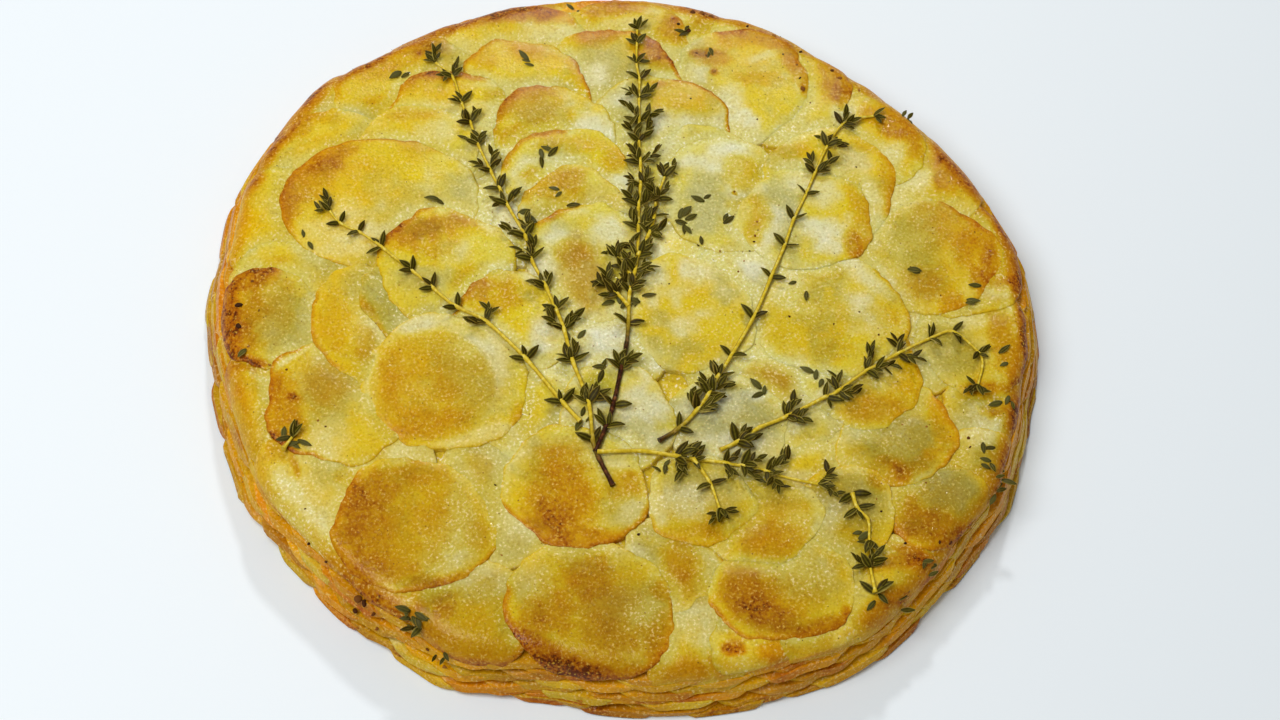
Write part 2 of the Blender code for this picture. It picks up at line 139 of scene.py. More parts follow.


# %% [markdown]
# ## Where the slices lie
# A cook lays the slices by eye, so no rule gives their places. They are listed from the lowest to
# the highest: middle, half length, half width and turn. Each outline is a slightly uneven ellipse,
# because potatoes are.

# %% The layout of the slices
SLICES = (
    # the lowest ones inside the rim
    (-39, -58, 20, 21, 0), (-24, -30, 20, 19, 0), (-4, -8, 18, 18, 0), (-34, 39, 20, 20, 0),
    (15, 33, 20, 20, 0), (40, 12, 19, 19, 0), (34, -15, 19, 17, 0), (51, -52, 19, 17, 0),
    (84, -11, 18, 18, 0), (-78, -46, 21, 19, 0),
    # the lowest ones of the rim
    (-86, 73, 21, 21, 0), (-48, 92, 23, 20, 25), (22, 100, 21, 19, 0), (52, 92, 22, 20, -30),
    (-101, -25, 23, 21, 0), (16, -105, 18, 19, 0), (34, -106, 16, 16, 0), (55, -101, 18, 16, 0),
    (93, -74, 19, 18, -45), (108, -33, 17, 18, 0), (104, -10, 19, 19, 0), (103, 18, 20, 21, 0),
    (77, 69, 19, 18, 0),
    # those over them, round the rim
    (6, 96, 20, 21, 0), (-28, 95, 23, 20, 0), (-62, 80, 25, 20, 35), (-85, 55, 23, 21, 0),
    (-99, 33, 22, 22, 0), (-96, 7, 24, 23, 0), (-104, 3, 17, 17, 0), (-94, -62, 18, 27, 20),
    (-63, -91, 22, 22, 0), (101, -57, 18, 18, 0), (73, -92, 17, 18, 0), (95, 48, 20, 20, 0),
    (80, 61, 18, 17, 0), (56, 78, 20, 19, 0), (41, 83, 21, 22, 0),
    # the back
    (2, 85, 20, 20, 0), (-27, 80, 21, 21, 0), (-50, 68, 21, 21.5, 0), (-59, 60, 18, 17, 0),
    (14, 64, 23, 22.5, 0), (28, 48, 19, 19, 0), (-18, 64, 19, 19.5, 0), (-71, 42, 30, 23, 8),
    (-14, 49, 19.5, 19.5, 0), (34, 42, 20, 21, 0),
    # the right
    (92, 19, 22, 21, 0), (66, 46, 20, 20, 0), (87, -64, 16, 15, 0), (48, -27, 18, 17, 0),
    (77, -41, 17.5, 17, 0), (69, -21, 18, 18, 0), (62, -1, 22, 21, 0), (57, 33, 21, 18, 0),
    # the left and the middle
    (-12, 35, 18, 18, 0), (-84, -25, 22, 21, 0), (-75, 1, 17, 21, 0), (-58, 9, 20, 17.5, 0),
    (-9, 20, 19, 20, 0), (20, 1, 19, 20, 0), (-52, 20, 20, 20, 0), (-33, -1, 18, 18, 0),
    # the front
    (-48, -94, 18, 18, 0), (-64, -66, 23, 22, 0), (-53, -20, 24, 23, 0), (8, -80, 15, 15, 0),
    (60, -66, 15, 16, 0), (40, -89, 21, 17, 0), (35, -66, 17, 16, 0), (28, -37, 18, 17, 0),
    (18, -60, 16, 15, 0), (-4, -33, 17, 18, 0), (-15, -94, 24, 23, 0), (-17, -55, 21, 20, 0),
)
HANG_LEAST, HANG_MOST = 0.0085, 0.0125  # how far a slice of the rim hangs past the flat top
WAVES_ROUND_EDGE = (2, 3, 5)
WAVE_LEAST, WAVE_MOST = 0.010, 0.045


class Slice:
    """One slice of the top, in the unrolled plane of the pan."""

    def __init__(self, index, x, y, half_length, half_width, turn):
        self.index = index
        self.x, self.y = x * MM + LAYOUT_SHIFT[0], y * MM + LAYOUT_SHIFT[1]
        self.half_length, self.half_width = half_length * MM, half_width * MM
        self.turn = math.radians(turn)
        draw = random.Random(index)
        self.waves = [
            (n, draw.uniform(WAVE_LEAST, WAVE_MOST), draw.uniform(0, math.tau))
            for n in WAVES_ROUND_EDGE
        ]
        self.hang = draw.uniform(HANG_LEAST, HANG_MOST)

    def wobble(self, bearing):
        return 1 + sum(size * np.sin(n * bearing + phase) for n, size, phase in self.waves)

    def edge_share(self, x, y):
        """0 in the middle of the slice and 1 on its edge."""
        dx, dy = x - self.x, y - self.y
        u = (dx * math.cos(self.turn) + dy * math.sin(self.turn)) / self.half_length
        v = (dy * math.cos(self.turn) - dx * math.sin(self.turn)) / self.half_width
        return np.hypot(u, v) / self.wobble(np.arctan2(v, u))

    def point(self, share, bearing):
        """Points of the unrolled plane, at a share of the way to the edge."""
        u = share * self.wobble(bearing) * self.half_length * np.cos(bearing)
        v = share * self.wobble(bearing) * self.half_width * np.sin(bearing)
        x = self.x + u * math.cos(self.turn) - v * math.sin(self.turn)
        y = self.y + u * math.sin(self.turn) + v * math.cos(self.turn)
        return x, y


slices = [Slice(index, *row) for index, row in enumerate(SLICES)]
print(len(slices), "slices show on the top")

# %% [markdown]
# ## How slices lie over each other
# A slice keeps to the pan where nothing lies between, and dips where another slice covers it. The
# dip begins a little outside the upper slice's edge. A slice of the rim ends part of the way down
# the wall, so its outline is trimmed there, bearing by bearing, by halving the error.

# %% Dipping and trimming
SLICE_STEP = 0.00045  # baking and pressing leave less of a step than a raw slice is thick
DIP_LIMIT = 0.0030
DIP_FADE = 0.0055
TAPER_LEAST, TAPER_MOST, TAPER_WIDTH = 0.00008, 0.00024, 0.0019  # how a slice thins to its edge
RAGGED_EDGE = 0.00080  # how far a slice's edge wanders in and out
RAGGED_COARSE, RAGGED_FINE = 4.2, 1.7  # mm, over which it does so
MELTED_TAPER, SEAM_WIDTH = 0.00022, 0.0038  # where butter and starch close the step
TRIM_STEPS = 14
RIM_IN_MM = 120  # turns an angle into a rough length along the rim
TORN_END, TORN_SIZE = 0.0009, 5.0  # how far a hanging end wanders, and over how many mm


def dip(x, y, slices_over):
    """How far a slice dips at each point, under the slices that lie over it."""
    total = np.zeros_like(x)
    for other in slices_over:
        outside = (other.edge_share(x, y) - 1) * other.half_width
        total += SLICE_STEP * smooth(1 - outside / DIP_FADE)
    return DIP_LIMIT * np.tanh(total / DIP_LIMIT)


def trimmed(piece, bearing):
    """The share of the full radius at which the slice ends, for each bearing."""

    def hangs_free(share):
        x, y = piece.point(share, bearing)
        angle = np.arctan2(y, x)
        torn = TORN_END * wander(angle * RIM_IN_MM, angle * 0 + piece.index, TORN_SIZE, 3)
        return np.hypot(x, y) <= shoulder_start(angle) + piece.hang + torn

    low, high = np.zeros_like(bearing), np.ones_like(bearing)
    whole = hangs_free(np.ones_like(bearing))
    for _ in range(TRIM_STEPS):
        middle = (low + high) / 2
        free = hangs_free(middle)
        low, high = np.where(free, middle, low), np.where(free, high, middle)
    return np.where(whole, 1.0, low)


# %% [markdown]
# ## One slice, as cut
# A raw slice is a disc with a crisp edge. It starts as a cylinder of the real radius and thickness.
# The bevel rounds its upper edge, as heat does. Rings are inset in its top, close together near the
# rim where the colour changes fast, so that it can bend and take browning. It is modelled once.

# %% The slice blank
SLICE_RADIUS = 0.0200
SLICE_THICKNESS = 0.0032  # its lower half is sunk in what lies under it
SLICE_SIDES = 112
EDGE_ROUNDING = 0.0005
RING_STEPS = [0.4, 0.5, 0.6, 0.7, 0.8, 0.9] + [1.05] * 14  # mm, from the rim to the middle
UNDERSIDE_INSET = 0.0040  # leaves a ring of even faces round the fan below


def select_only(piece):
    bpy.ops.object.select_all(action="DESELECT")
    piece.select_set(True)
    bpy.context.view_layer.objects.active = piece


def select_faces(piece, wanted):
    """In edit mode, selects the faces for which wanted(face) is true, and nothing else."""
    bpy.ops.mesh.select_all(action="DESELECT")
    bpy.ops.object.mode_set(mode="OBJECT")
    for face in piece.data.polygons:
        face.select = wanted(face)
    bpy.ops.object.mode_set(mode="EDIT")


bpy.ops.object.select_all(action="DESELECT")
bpy.ops.mesh.primitive_cylinder_add(
    vertices=SLICE_SIDES, radius=SLICE_RADIUS, depth=SLICE_THICKNESS,
    location=(0, 0, -SLICE_THICKNESS / 2),
)
blank = bpy.context.active_object
blank.name = "slice_blank"
bpy.ops.object.transform_apply(location=True)
bpy.ops.object.mode_set(mode="EDIT")
bpy.ops.mesh.select_mode(type="FACE")
select_faces(blank, lambda face: face.normal.z > 0.9)
bpy.ops.mesh.bevel(offset=EDGE_ROUNDING, segments=2, affect="EDGES")
select_faces(blank, lambda face: face.normal.z > 0.99 and len(face.vertices) > 4)
for step in RING_STEPS:
    bpy.ops.mesh.inset(thickness=step * MM)
bpy.ops.mesh.poke()
select_faces(blank, lambda face: face.normal.z < -0.99)
bpy.ops.mesh.inset(thickness=UNDERSIDE_INSET)
bpy.ops.mesh.poke()
bpy.ops.object.mode_set(mode="OBJECT")
print("one slice has", len(blank.data.polygons), "faces")

# %% [markdown]
# ## Where the heat reached
# Potato browns where it is pressed on hot metal and stays pale, yellow or glassy where butter and
# steam kept it off. The places are given slice by slice, like dabs of a brush: middle, half length,
# half width, strength and, where it doesn't lie level, turn. Lengths are in the layout's
# millimetres. A dab stays on its slice, so that colours break at a slice's edge as they do on the
# real cake.

# %% Browned places of the lowest slices
BROWNED = {
    0: [(-45, -55, 5, 4, 0.25)],
    10: [(-91, 83, 5, 1.5, 0.5, 45)],
    11: [(-46, 105, 12, 2.5, 0.8, 22)],
    12: [(31, 105, 6, 3, 0.7), (25.5, 103, 2, 1.6, 0.95), (35, 109, 7, 1.5, 0.9, -12),
        (31, 103, 5, 3, 0.5), (31, 103, 4, 3, 0.4)],
    13: [(52, 100, 13, 2.5, 0.5, -27), (66, 88, 6, 2, 0.35, -50)],
    14: [(-110, -22, 5, 8, 0.1), (-110, -13.5, 6, 1.4, 0.6, -15), (-119, -9, 2, 8, 0.6)],
    15: [(12, -113, 6, 6, 0.25), (19.5, -112, 1.6, 5, 0.75, 20), (15, -89, 4, 4, 0.25)],
    16: [(24.5, -107, 3.5, 2, 0.75), (28, -103, 5, 2, 0.4), (37, -108, 6, 4, 0.45, -20)],
    17: [(50, -111, 10, 2, 0.35, 15)],
    18: [(96, -77, 10, 5, 0.5, 50)],
    19: [(103, -28, 7, 2.5, 0.6), (114, -36, 3, 10, 0.85, -8), (107, -32, 4, 4, 0.4),
        (106, -29, 3, 5, 0.5), (106, -31, 4, 4, 0.35)],
    20: [(112, -9, 4, 15, 0.5, 5), (104, -27, 6, 2.5, 0.6), (119, -8, 2, 10, 0.8),
        (105, -30, 3, 3, 0.5)],
    21: [(112, 14, 6, 5, 0.55), (110, 10, 9, 1.2, 0.9, -5), (118, 14, 2.5, 16, 0.85, 8),
        (108, 33, 3, 5, 0.5), (109, 33, 3, 4, 0.3), (113, 11, 3, 5, 0.5)],
    22: [(80, 77, 5, 3, 0.4, -30), (88, 75, 9, 1.6, 0.6, -45)],
}
print(sum(map(len, BROWNED.values())), "browned places so far")

# %% Browned places round the rim
BROWNED.update({
    23: [(2, 112, 11, 3, 0.6), (22, 103, 5, 6, 0.75), (22, 107, 1.6, 1, 0.9),
        (26, 100, 2, 1.5, 0.85), (-5, 108, 4, 3, 0.3)],
    24: [(-26, 110, 14, 3, 0.7, 8), (-17, 110, 3, 1.6, 0.85), (-19, 108, 2, 1, 0.9),
        (-10, 107, 1.2, 1.2, 0.7), (-17, 109, 8, 3, 0.4)],
    25: [(-56, 98.5, 6, 3, 0.8, 25), (-75, 92, 11, 2.6, 0.7, 32), (-84, 81.5, 1.8, 3, 0.65),
        (-60, 93, 6, 4, 0.3, 20), (-54, 98, 1.6, 1, 0.9), (-71, 90, 6, 4, 0.3, 30),
        (-70, 76, 6, 4, 0.25), (-52, 97, 5, 3, 0.4, 20), (-69, 76, 5, 3, 0.3, 30)],
    26: [(-96, 68, 6, 3, 0.5, 30), (-90, 74, 8, 1.5, 0.7, 25), (-103, 62, 2, 6, 0.8, -25),
        (-87, 74, 5, 4, 0.3)],
    27: [(-110, 51, 4, 3.5, 0.75, 20), (-113, 35, 4, 12, 0.1, -10), (-113, 26, 2, 3, 0.3)],
    28: [(-103, 21, 5, 1.5, 0.4, 20), (-86, 29, 5, 1, 0.3, -5)],
    29: [(-115.5, 4, 3.5, 12, 0.75), (-109, 16, 8, 4, 0.7, 30), (-112, -4, 5, 6, 0.55),
        (-112, -12, 6, 2.5, 0.5, -15), (-103, 10, 8, 9, 0.22), (-106, -12.5, 2, 1, 0.8),
        (-109, 5, 4, 6, 0.5)],
    30: [(-102, -66, 17, 1.6, 0.7, -62), (-97, -45, 1, 4, 0.55, 15), (-92, -84, 8, 4, 0.6, -40),
        (-102, -40, 4, 4, 0.4), (-82, -50, 3, 4, 0.4)],
    31: [(-72, -95, 12, 9, 0.5, -45), (-78, -93, 1.5, 2.2, 0.85), (-72, -87, 8, 2, 0.5, -15),
        (-63, -105, 1.2, 1.6, 0.85), (-83, -87, 6, 3, 0.75, -40)],
    32: [(108, -54, 2.5, 9, 0.5, -15), (101, -55, 4, 3, 0.3), (103, -49, 3, 3, 0.25)],
    33: [(73, -82, 10, 2.6, 0.5, 8), (80, -80, 8, 2, 0.8, -25), (72, -93, 5, 3, 0.5),
        (65, -98, 6, 4, 0.35), (86, -88, 6, 3, 0.55, 50), (81, -83, 6, 3, 0.3)],
    34: [(105, 49, 14, 3.2, 0.75, -56), (101, 46, 4, 5, 0.5), (95, 53, 2, 4, 0.45, -30),
        (98, 40, 3, 5, 0.3), (97, 53, 4, 4, 0.3), (96, 54, 3, 4, 0.3), (99, 40, 4, 4, 0.3)],
    35: [(86, 66, 7, 4, 0.4, -30), (93, 60, 3, 8, 0.6, 25), (82, 70, 5, 3, 0.3),
        (87, 65, 4, 4, 0.35), (93, 56, 3, 3, 0.35)],
    36: [(70, 80, 3.5, 6, 0.6, 10), (74, 79, 1.2, 3, 0.85), (67, 86, 1, 3, 0.35, 20),
        (72, 79, 3, 5, 0.5)],
    37: [(31, 94, 5, 1.5, 0.8), (33, 87, 1.5, 1.2, 0.85), (33, 92, 6, 3, 0.5),
        (47, 84, 9, 2.5, 0.3, -5), (57, 91, 2.5, 7, 0.5, 12), (60, 80, 0.8, 1.6, 0.85),
        (50, 99, 10, 3, 0.5, -25), (40, 100, 6, 4, 0.3), (39, 103, 6, 3, 0.3)],
})
print(sum(map(len, BROWNED.values())), "browned places so far")

# %% Browned places of the back and the right
BROWNED.update({
    38: [(15, 95, 8, 5, 0.62, -42), (10, 93, 1.4, 1.4, 0.85), (16, 92.5, 1.3, 1, 0.9),
        (-3, 102, 8, 3, 0.35), (-5, 101, 8, 4, 0.35), (16, 95, 6, 3, 0.5, -45)],
    39: [(-23, 97, 9, 5, 0.35, -10), (-38, 93, 4, 4, 0.3), (-10, 88, 2, 8, 0.25, 15),
        (-24, 98, 7, 3, 0.35)],
    40: [(-54, 88, 9, 2.6, 0.65), (-62, 84, 4, 3, 0.35, 40), (-68, 76, 1.5, 2, 0.75),
        (-50, 82, 8, 4, 0.15), (-32, 79, 3, 5, 0.5), (-55, 87, 6, 3, 0.3, 20), (-33, 79, 4, 4, 0.3),
        (-50, 88, 5, 3, 0.3)],
    41: [(-60, 74, 11, 3, 0.35)],
    42: [(22, 78, 11, 7, 0.25, -20), (15, 83, 3, 1.2, 0.55), (37, 68, 1, 3, 0.7)],
    43: [(26, 62, 7, 3, 0.08)],
    44: [(-32, 76, 2.5, 6, 0.5, -20), (-22, 81, 10, 3, 0.36, 8), (-22, 74, 8, 5, 0.12),
        (-30, 64, 6, 4, 0.45), (-23, 67, 6, 4, 0.35)],
    45: [(-94, 50, 7, 9, 0.5, -15), (-87, 56, 6, 4, 0.7, 20), (-82, 60, 5, 2.5, 0.55, 20),
        (-98, 42, 2.5, 6, 0.5), (-78, 50, 12, 8, 0.12), (-58, 61, 6, 3, 0.25)],
    46: [(-31, 64, 3, 6, 0.55, -30), (-22, 67, 9, 3, 0.5, 5), (-10, 61, 6, 4, 0.25),
        (0, 55, 4, 5, 0.35), (-24, 50, 4, 3, 0.4), (-19, 61, 4, 3, 0.3), (-22, 51, 6, 4, 0.3)],
    47: [(39, 50, 6, 7, 0.3), (41, 37, 5, 4, 0.45), (45, 36, 1.2, 8, 0.6, -25),
        (40, 27.5, 1.2, 2, 0.85, -30), (36, 42.5, 0.7, 0.7, 0.9)],
    48: [(98, 30, 9, 7, 0.22), (104, 20, 3, 6, 0.5, -10), (103, 37, 11, 2.4, 0.55, -45),
        (110, 22, 2.6, 9, 0.5), (98, 1, 3, 5, 0.45, -20), (90, 9, 7, 6, 0.2), (107, 10, 3, 5, 0.6),
        (112, 14, 3, 8, 0.7)],
    49: [(83, 45, 2.6, 9, 0.28), (72, 44, 3, 4.5, 0.45), (55, 57, 7, 3, 0.25),
        (78, 60, 4, 4, 0.25)],
    50: [(82, -71, 9, 5, 0.55, -8), (77, -64, 4, 4, 0.3), (92, -74, 7, 2.5, 0.5, 25),
        (75, -70, 4, 5, 0.3)],
    51: [(41, -24, 8, 6, 0.18)],
    52: [(73, -53, 7, 4, 0.5), (91, -37, 3.5, 9, 0.25), (84, -50, 8, 2.5, 0.3, 35),
        (74, -57, 4, 3, 0.4), (75, -55, 4, 4, 0.4)],
    53: [(81, -24, 4, 8, 0.22, -15), (69, -32, 9, 5, 0.22)],
    54: [(55, -3, 15, 13, 0.1), (62, -13, 7, 3, 0.15, 10), (79, -2, 4, 7, 0.15, 10),
        (63, 14, 6, 3, 0.2)],
    55: [(73, 40, 3, 8, 0.3, 5), (70.5, 23, 2.6, 5, 0.62, 5), (44, 35, 3, 6, 0.25),
        (73, 28, 2.5, 5, 0.3), (41, 36, 4, 5, 0.15), (40, 28, 3, 4, 0.4)],
})
print(sum(map(len, BROWNED.values())), "browned places so far")

# %% Browned places of the middle and the front
BROWNED.update({
    56: [(-20, 47, 9, 6, 0.4), (-12, 50, 4, 3, 0.28), (3, 46, 3, 3, 0.15)],
    57: [(-99, -30, 5, 12, 0.5), (-97, -24, 2, 1.4, 0.85, -30), (-102, -38, 4, 3, 0.6),
        (-88, -20, 6, 7, 0.2), (-102, -19, 2.5, 4, 0.5, -30), (-97, -42, 1, 4, 0.6, 20)],
    58: [(-85, 0, 5, 9, 0.22), (-80, -12, 5, 7, 0.12, 20), (-76, -7, 3, 6, 0.15)],
    59: [(-74, 2, 8, 1.6, 0.28, -62)],
    60: [(-14, 23, 5, 4, 0.35), (-12, 11, 6, 10, 0.14), (-20, 35.5, 5, 2, 0.4, 25)],
    61: [(20, 1, 18, 18, 0.1), (23, -12, 10, 5, 0.08)],
    62: [(-61, 31, 11, 4.5, 0.55, 12), (-67, 32, 4, 2.4, 0.6, 30), (-55, 25, 7, 4, 0.3),
        (-48, 33, 6, 5, 0.2), (-46, 37, 5, 4, 0.4), (-57, 31, 4, 3, 0.3), (-45, 14, 5, 5, 0.35)],
    63: [(-44, 10, 5, 4.5, 0.5, 30), (-36, 7, 6, 5, 0.3), (-30, 9, 7, 4, 0.15),
        (-36, 14, 5, 4, 0.35)],
    64: [(-50, -97, 14, 11, 0.18), (-56, -93, 3, 2, 0.3), (-48, -109, 10, 1.6, 0.4, -8),
        (-60, -88, 7, 3, 0.45, -15), (-64, -90, 4, 4, 0.45)],
    65: [(-71, -66, 15, 18, 0.2), (-78, -66, 8, 15, 0.35), (-74, -80, 10, 4, 0.35, -10),
        (-60, -49, 8, 4, 0.3), (-55, -84, 7, 1.6, 0.45, 25), (-52, -62, 8, 9, 0.15),
        (-74, -54, 8, 5, 0.3, 30), (-60, -85, 5, 3, 0.4), (-45, -70, 4, 5, 0.2),
        (-80, -60, 4, 12, 0.3)],
    66: [(-64, -27, 9, 9, 0.18), (-58, -34, 12, 4.5, 0.32, 10), (-53, -22, 5, 4, 0.2),
        (-58, -13, 12, 8, 0.14), (-69, -18, 3, 9, 0.22), (-32, -32, 3, 4, 0.3)],
    67: [(11, -80, 5, 7, 0.35), (5, -87, 4, 3, 0.45), (14, -74, 4, 2, 0.2), (12, -88, 7, 5, 0.35)],
    68: [(63, -70, 5, 5, 0.1), (71, -55, 4, 4, 0.4)],
    69: [(29, -90, 7, 8, 0.5, -20), (35, -98, 9, 4.5, 0.55, -25), (50, -101, 8, 2.5, 0.55, 12),
        (57, -97, 1.4, 1.8, 0.6), (40, -92, 10, 7, 0.18)],
    70: [(38, -74, 10, 5, 0.38), (36, -66, 10, 6, 0.05), (22, -72, 2.5, 4, 0.35)],
    72: [(15, -71, 8, 2.5, 0.2), (22, -68, 3, 5, 0.25)],
    74: [(-28, -107, 13, 4, 0.6, -42), (-18, -114, 8, 4, 0.7, -10), (-26, -112.5, 2, 1.4, 0.9),
        (-15, -83, 6, 7, 0.42), (-25, -93, 5, 8, 0.35), (-9, -102, 9, 5, 0.3),
        (4, -103, 3.5, 8, 0.42, -15), (-5, -114, 6, 2.5, 0.25), (-10, -92, 8, 6, 0.15),
        (6, -88, 3, 4, 0.5), (-26, -110, 8, 3, 0.2, -20), (-23, -114, 5, 3, 0.3),
        (-31, -98, 4, 8, 0.35)],
    75: [(-21, -58, 9, 13, 0.48), (-25, -66, 7, 6, 0.45, -20), (-14, -72, 12, 3, 0.42, 5),
        (-3, -55, 5, 5, 0.25), (0.5, -71, 1.6, 0.9, 0.9), (-20, -46, 8, 5, 0.18),
        (0, -55, 4, 4, 0.25)],
})
print(sum(map(len, BROWNED.values())), "browned places so far")

# %% [markdown]
# ## Butter, steam and starch
# Under the browning the flesh itself changes. Butter turns it a full yellow, steam leaves it glassy
# and grey, and trapped starch shows milky; the milky places are partly painted sheen as well. Where
# a slice lies over another one's skin side it looks rosy, and where thyme or cold oil tints it,
# olive.

# %% Buttery places
BUTTERY = {
    1: [(-30, -30, 5, 12, 0.7, 20), (-35, -44, 5, 5, 0.6)],
    7: [(55, -44, 5, 9, 0.8), (48, -50, 5, 5, 0.5)], 8: [(88, -6, 5, 5, 0.6)],
    9: [(-77, -40, 8, 8, 0.8)], 14: [(-110, -22, 6, 10, 0.5)], 19: [(112, -36, 4, 9, 0.6, -8)],
    21: [(113, 11, 5, 5, 0.6)], 22: [(80, 76, 6, 4, 0.4)],
    24: [(-38, 101, 7, 5, 0.5), (-24, 99, 7, 4, 0.6)],
    25: [(-75, 84, 8, 5, 0.6, 30), (-62, 92, 8, 4, 0.5, 20)], 26: [(-85, 66, 8, 5, 0.4, 20)],
    27: [(-112, 35, 7, 16, 0.7, -8), (-104, 26, 8, 4, 0.5)], 28: [(-95, 26, 12, 3, 0.4)],
    30: [(-90, -52, 5, 5, 0.5), (-84, -60, 4, 9, 0.4), (-86, -61, 4, 6, 0.6)],
    31: [(-66, -102, 6, 5, 0.4)], 32: [(108, -52, 4, 8, 0.6, -15)],
    34: [(99, 47, 7, 8, 0.5), (104, 36, 4, 5, 0.5)], 35: [(86, 64, 9, 9, 0.6)],
    36: [(58, 82, 4, 10, 0.3)],
    37: [(50, 86, 13, 13, 0.75), (44, 72, 12, 6, 0.7), (40, 100, 7, 4, 0.5)],
    38: [(-2, 100, 10, 5, 0.7), (-4, 99, 6, 4, 0.5), (-8, 101, 7, 4, 0.6)],
    39: [(-14, 86, 9, 10, 0.7), (-30, 96, 12, 6, 0.5), (-24, 99, 7, 4, 0.5)],
    40: [(-48, 78, 14, 11, 0.8)], 41: [(-62, 73, 10, 4, 0.5), (-60, 76, 6, 3, 0.5)],
    42: [(22, 77, 14, 8, 0.7, -15)], 43: [(24, 62, 9, 6, 0.4)],
    44: [(-9, 77, 8, 7, 0.8), (-25, 81, 10, 4, 0.4)],
    45: [(-72, 50, 22, 14, 0.85), (-45, 37, 5, 5, 0.7)],
    46: [(-8, 60, 12, 8, 0.7), (-26, 62, 8, 6, 0.5), (-22, 66, 6, 4, 0.5)],
    47: [(40, 44, 7, 12, 0.6), (38, 37, 6, 7, 0.6), (31, 58, 4, 5, 0.5), (30, 51, 4, 5, 0.5)],
    48: [(98, 32, 12, 8, 0.4, -20), (97, 0, 5, 6, 0.6), (108, 20, 4, 12, 0.5)],
    49: [(77, 48, 8, 13, 0.7), (56, 56, 9, 5, 0.7), (78, 59, 5, 4, 0.6)],
    50: [(80, -70, 9, 7, 0.4)], 51: [(50, -18, 7, 5, 0.4)],
    52: [(91, -38, 5, 11, 0.8), (70, -53, 9, 5, 0.5)], 53: [(78, -20, 8, 9, 0.7)],
    54: [(70, 0, 14, 13, 0.6), (52, -6, 10, 9, 0.45), (70, 15, 5, 4, 0.6)],
    55: [(66, 38, 11, 11, 0.55), (72, 36, 5, 13, 0.6), (45, 36, 4, 7, 0.7), (73, 28, 3, 5, 0.6)],
    56: [(-20, 47, 9, 7, 0.4)], 57: [(-99, -30, 5, 13, 0.5)], 58: [(-83, -2, 7, 14, 0.6)],
    59: [(-75, 2, 10, 3, 0.9, -62), (-70, 15, 5, 5, 0.3)], 60: [(-3, 30, 8, 6, 0.3)],
    61: [(20, 1, 19, 19, 0.65), (24, 14, 9, 6, 0.6), (21, 16, 5, 4, 0.6)],
    62: [(-50, 33, 12, 6, 0.8), (-52, 25, 14, 10, 0.4), (-46, 37, 6, 4, 0.5), (-45, 37, 5, 4, 0.5)],
    63: [(-33, 5, 12, 12, 0.65), (-36, 14, 6, 5, 0.6), (-25, -5, 5, 5, 0.5), (-25, -4, 4, 4, 0.5)],
    64: [(-50, -104, 12, 6, 0.5)], 65: [(-69, -66, 18, 20, 0.45), (-45, -70, 5, 6, 0.7)],
    66: [(-60, -24, 14, 15, 0.45)], 67: [(11, -82, 6, 8, 0.6)], 68: [(60, -60, 6, 5, 0.4)],
    69: [(57, -88, 4, 10, 0.6), (32, -95, 12, 8, 0.4)], 70: [(24, -70, 5, 7, 0.6)],
    71: [(17, -31, 4, 5, 0.5)], 72: [(20, -66, 9, 9, 0.4), (8, -58, 4, 8, 0.6)],
    73: [(2, -24, 10, 5, 0.3)], 74: [(-30, -90, 8, 14, 0.5), (2, -106, 7, 10, 0.6)],
    75: [(-22, -62, 12, 12, 0.6)],
}
print(sum(map(len, BUTTERY.values())), "buttery places")

# %% Glassy places
GLASSY = {
    1: [(-22, -38, 5, 6, 0.3)], 2: [(-4, -8, 14, 9, 0.5)], 5: [(40, 18, 6, 10, 0.4)],
    8: [(87, -18, 5, 8, 0.5)], 12: [(27, 106, 5, 3, 0.4)], 15: [(14, -92, 6, 8, 0.7)],
    16: [(23, -98, 4, 4, 0.6)], 17: [(48, -105, 9, 4, 0.5)], 19: [(102, -38, 7, 7, 0.5)],
    20: [(96, -14, 8, 9, 0.5)], 25: [(-50, 96, 5, 5, 0.6), (-76, 72, 6, 5, 0.6)],
    28: [(-88, 22, 8, 6, 0.5)], 29: [(-100, 2, 9, 11, 0.75)], 30: [(-88, -46, 5, 8, 0.5)],
    32: [(103, -49, 5, 6, 0.6)], 37: [(27, 92, 5, 10, 0.6), (32, 76, 5, 9, 0.3)],
    38: [(-2, 90, 9, 9, 0.6), (12, 88, 8, 4, 0.5)], 40: [(-36, 74, 4, 10, 0.3)],
    42: [(6, 76, 6, 8, 0.5), (22, 69, 12, 4, 0.4)], 43: [(19, 55, 4, 8, 0.6)],
    44: [(-20, 71, 9, 5, 0.4)], 45: [(-45, 46, 8, 6, 0.5), (-66, 36, 14, 4, 0.3)],
    46: [(-18, 58, 9, 4, 0.4)], 47: [(27, 40, 7, 12, 0.6)], 48: [(88, 24, 10, 12, 0.65)],
    49: [(72, 54, 6, 5, 0.4)], 50: [(91, -60, 8, 7, 0.8)], 51: [(48, -32, 8, 8, 0.4)],
    52: [(76, -43, 11, 8, 0.85), (84, -53, 6, 4, 0.5)], 53: [(64, -22, 9, 6, 0.3)],
    55: [(50, 36, 5, 11, 0.6)], 57: [(-87, -24, 8, 11, 0.6)], 58: [(-78, 14, 5, 6, 0.4)],
    59: [(-67, 8, 9, 10, 0.7)], 60: [(-16, 30, 5, 4, 0.3)], 62: [(-58, 15, 10, 4, 0.5)],
    64: [(-46, -86, 8, 5, 0.4)], 65: [(-48, -72, 6, 7, 0.3)], 66: [(-44, -18, 10, 14, 0.4)],
    67: [(0, -77, 7, 4, 0.5)], 68: [(64, -62, 9, 8, 0.5)], 69: [(46, -84, 10, 8, 0.45)],
    70: [(42, -60, 9, 4, 0.4)], 71: [(30, -36, 14, 11, 0.8)], 72: [(16, -55, 9, 4, 0.4)],
    73: [(-2, -38, 10, 6, 0.5)], 74: [(0, -94, 10, 7, 0.5)], 75: [(-4, -63, 7, 6, 0.5)],
}
print(sum(map(len, GLASSY.values())), "glassy places")

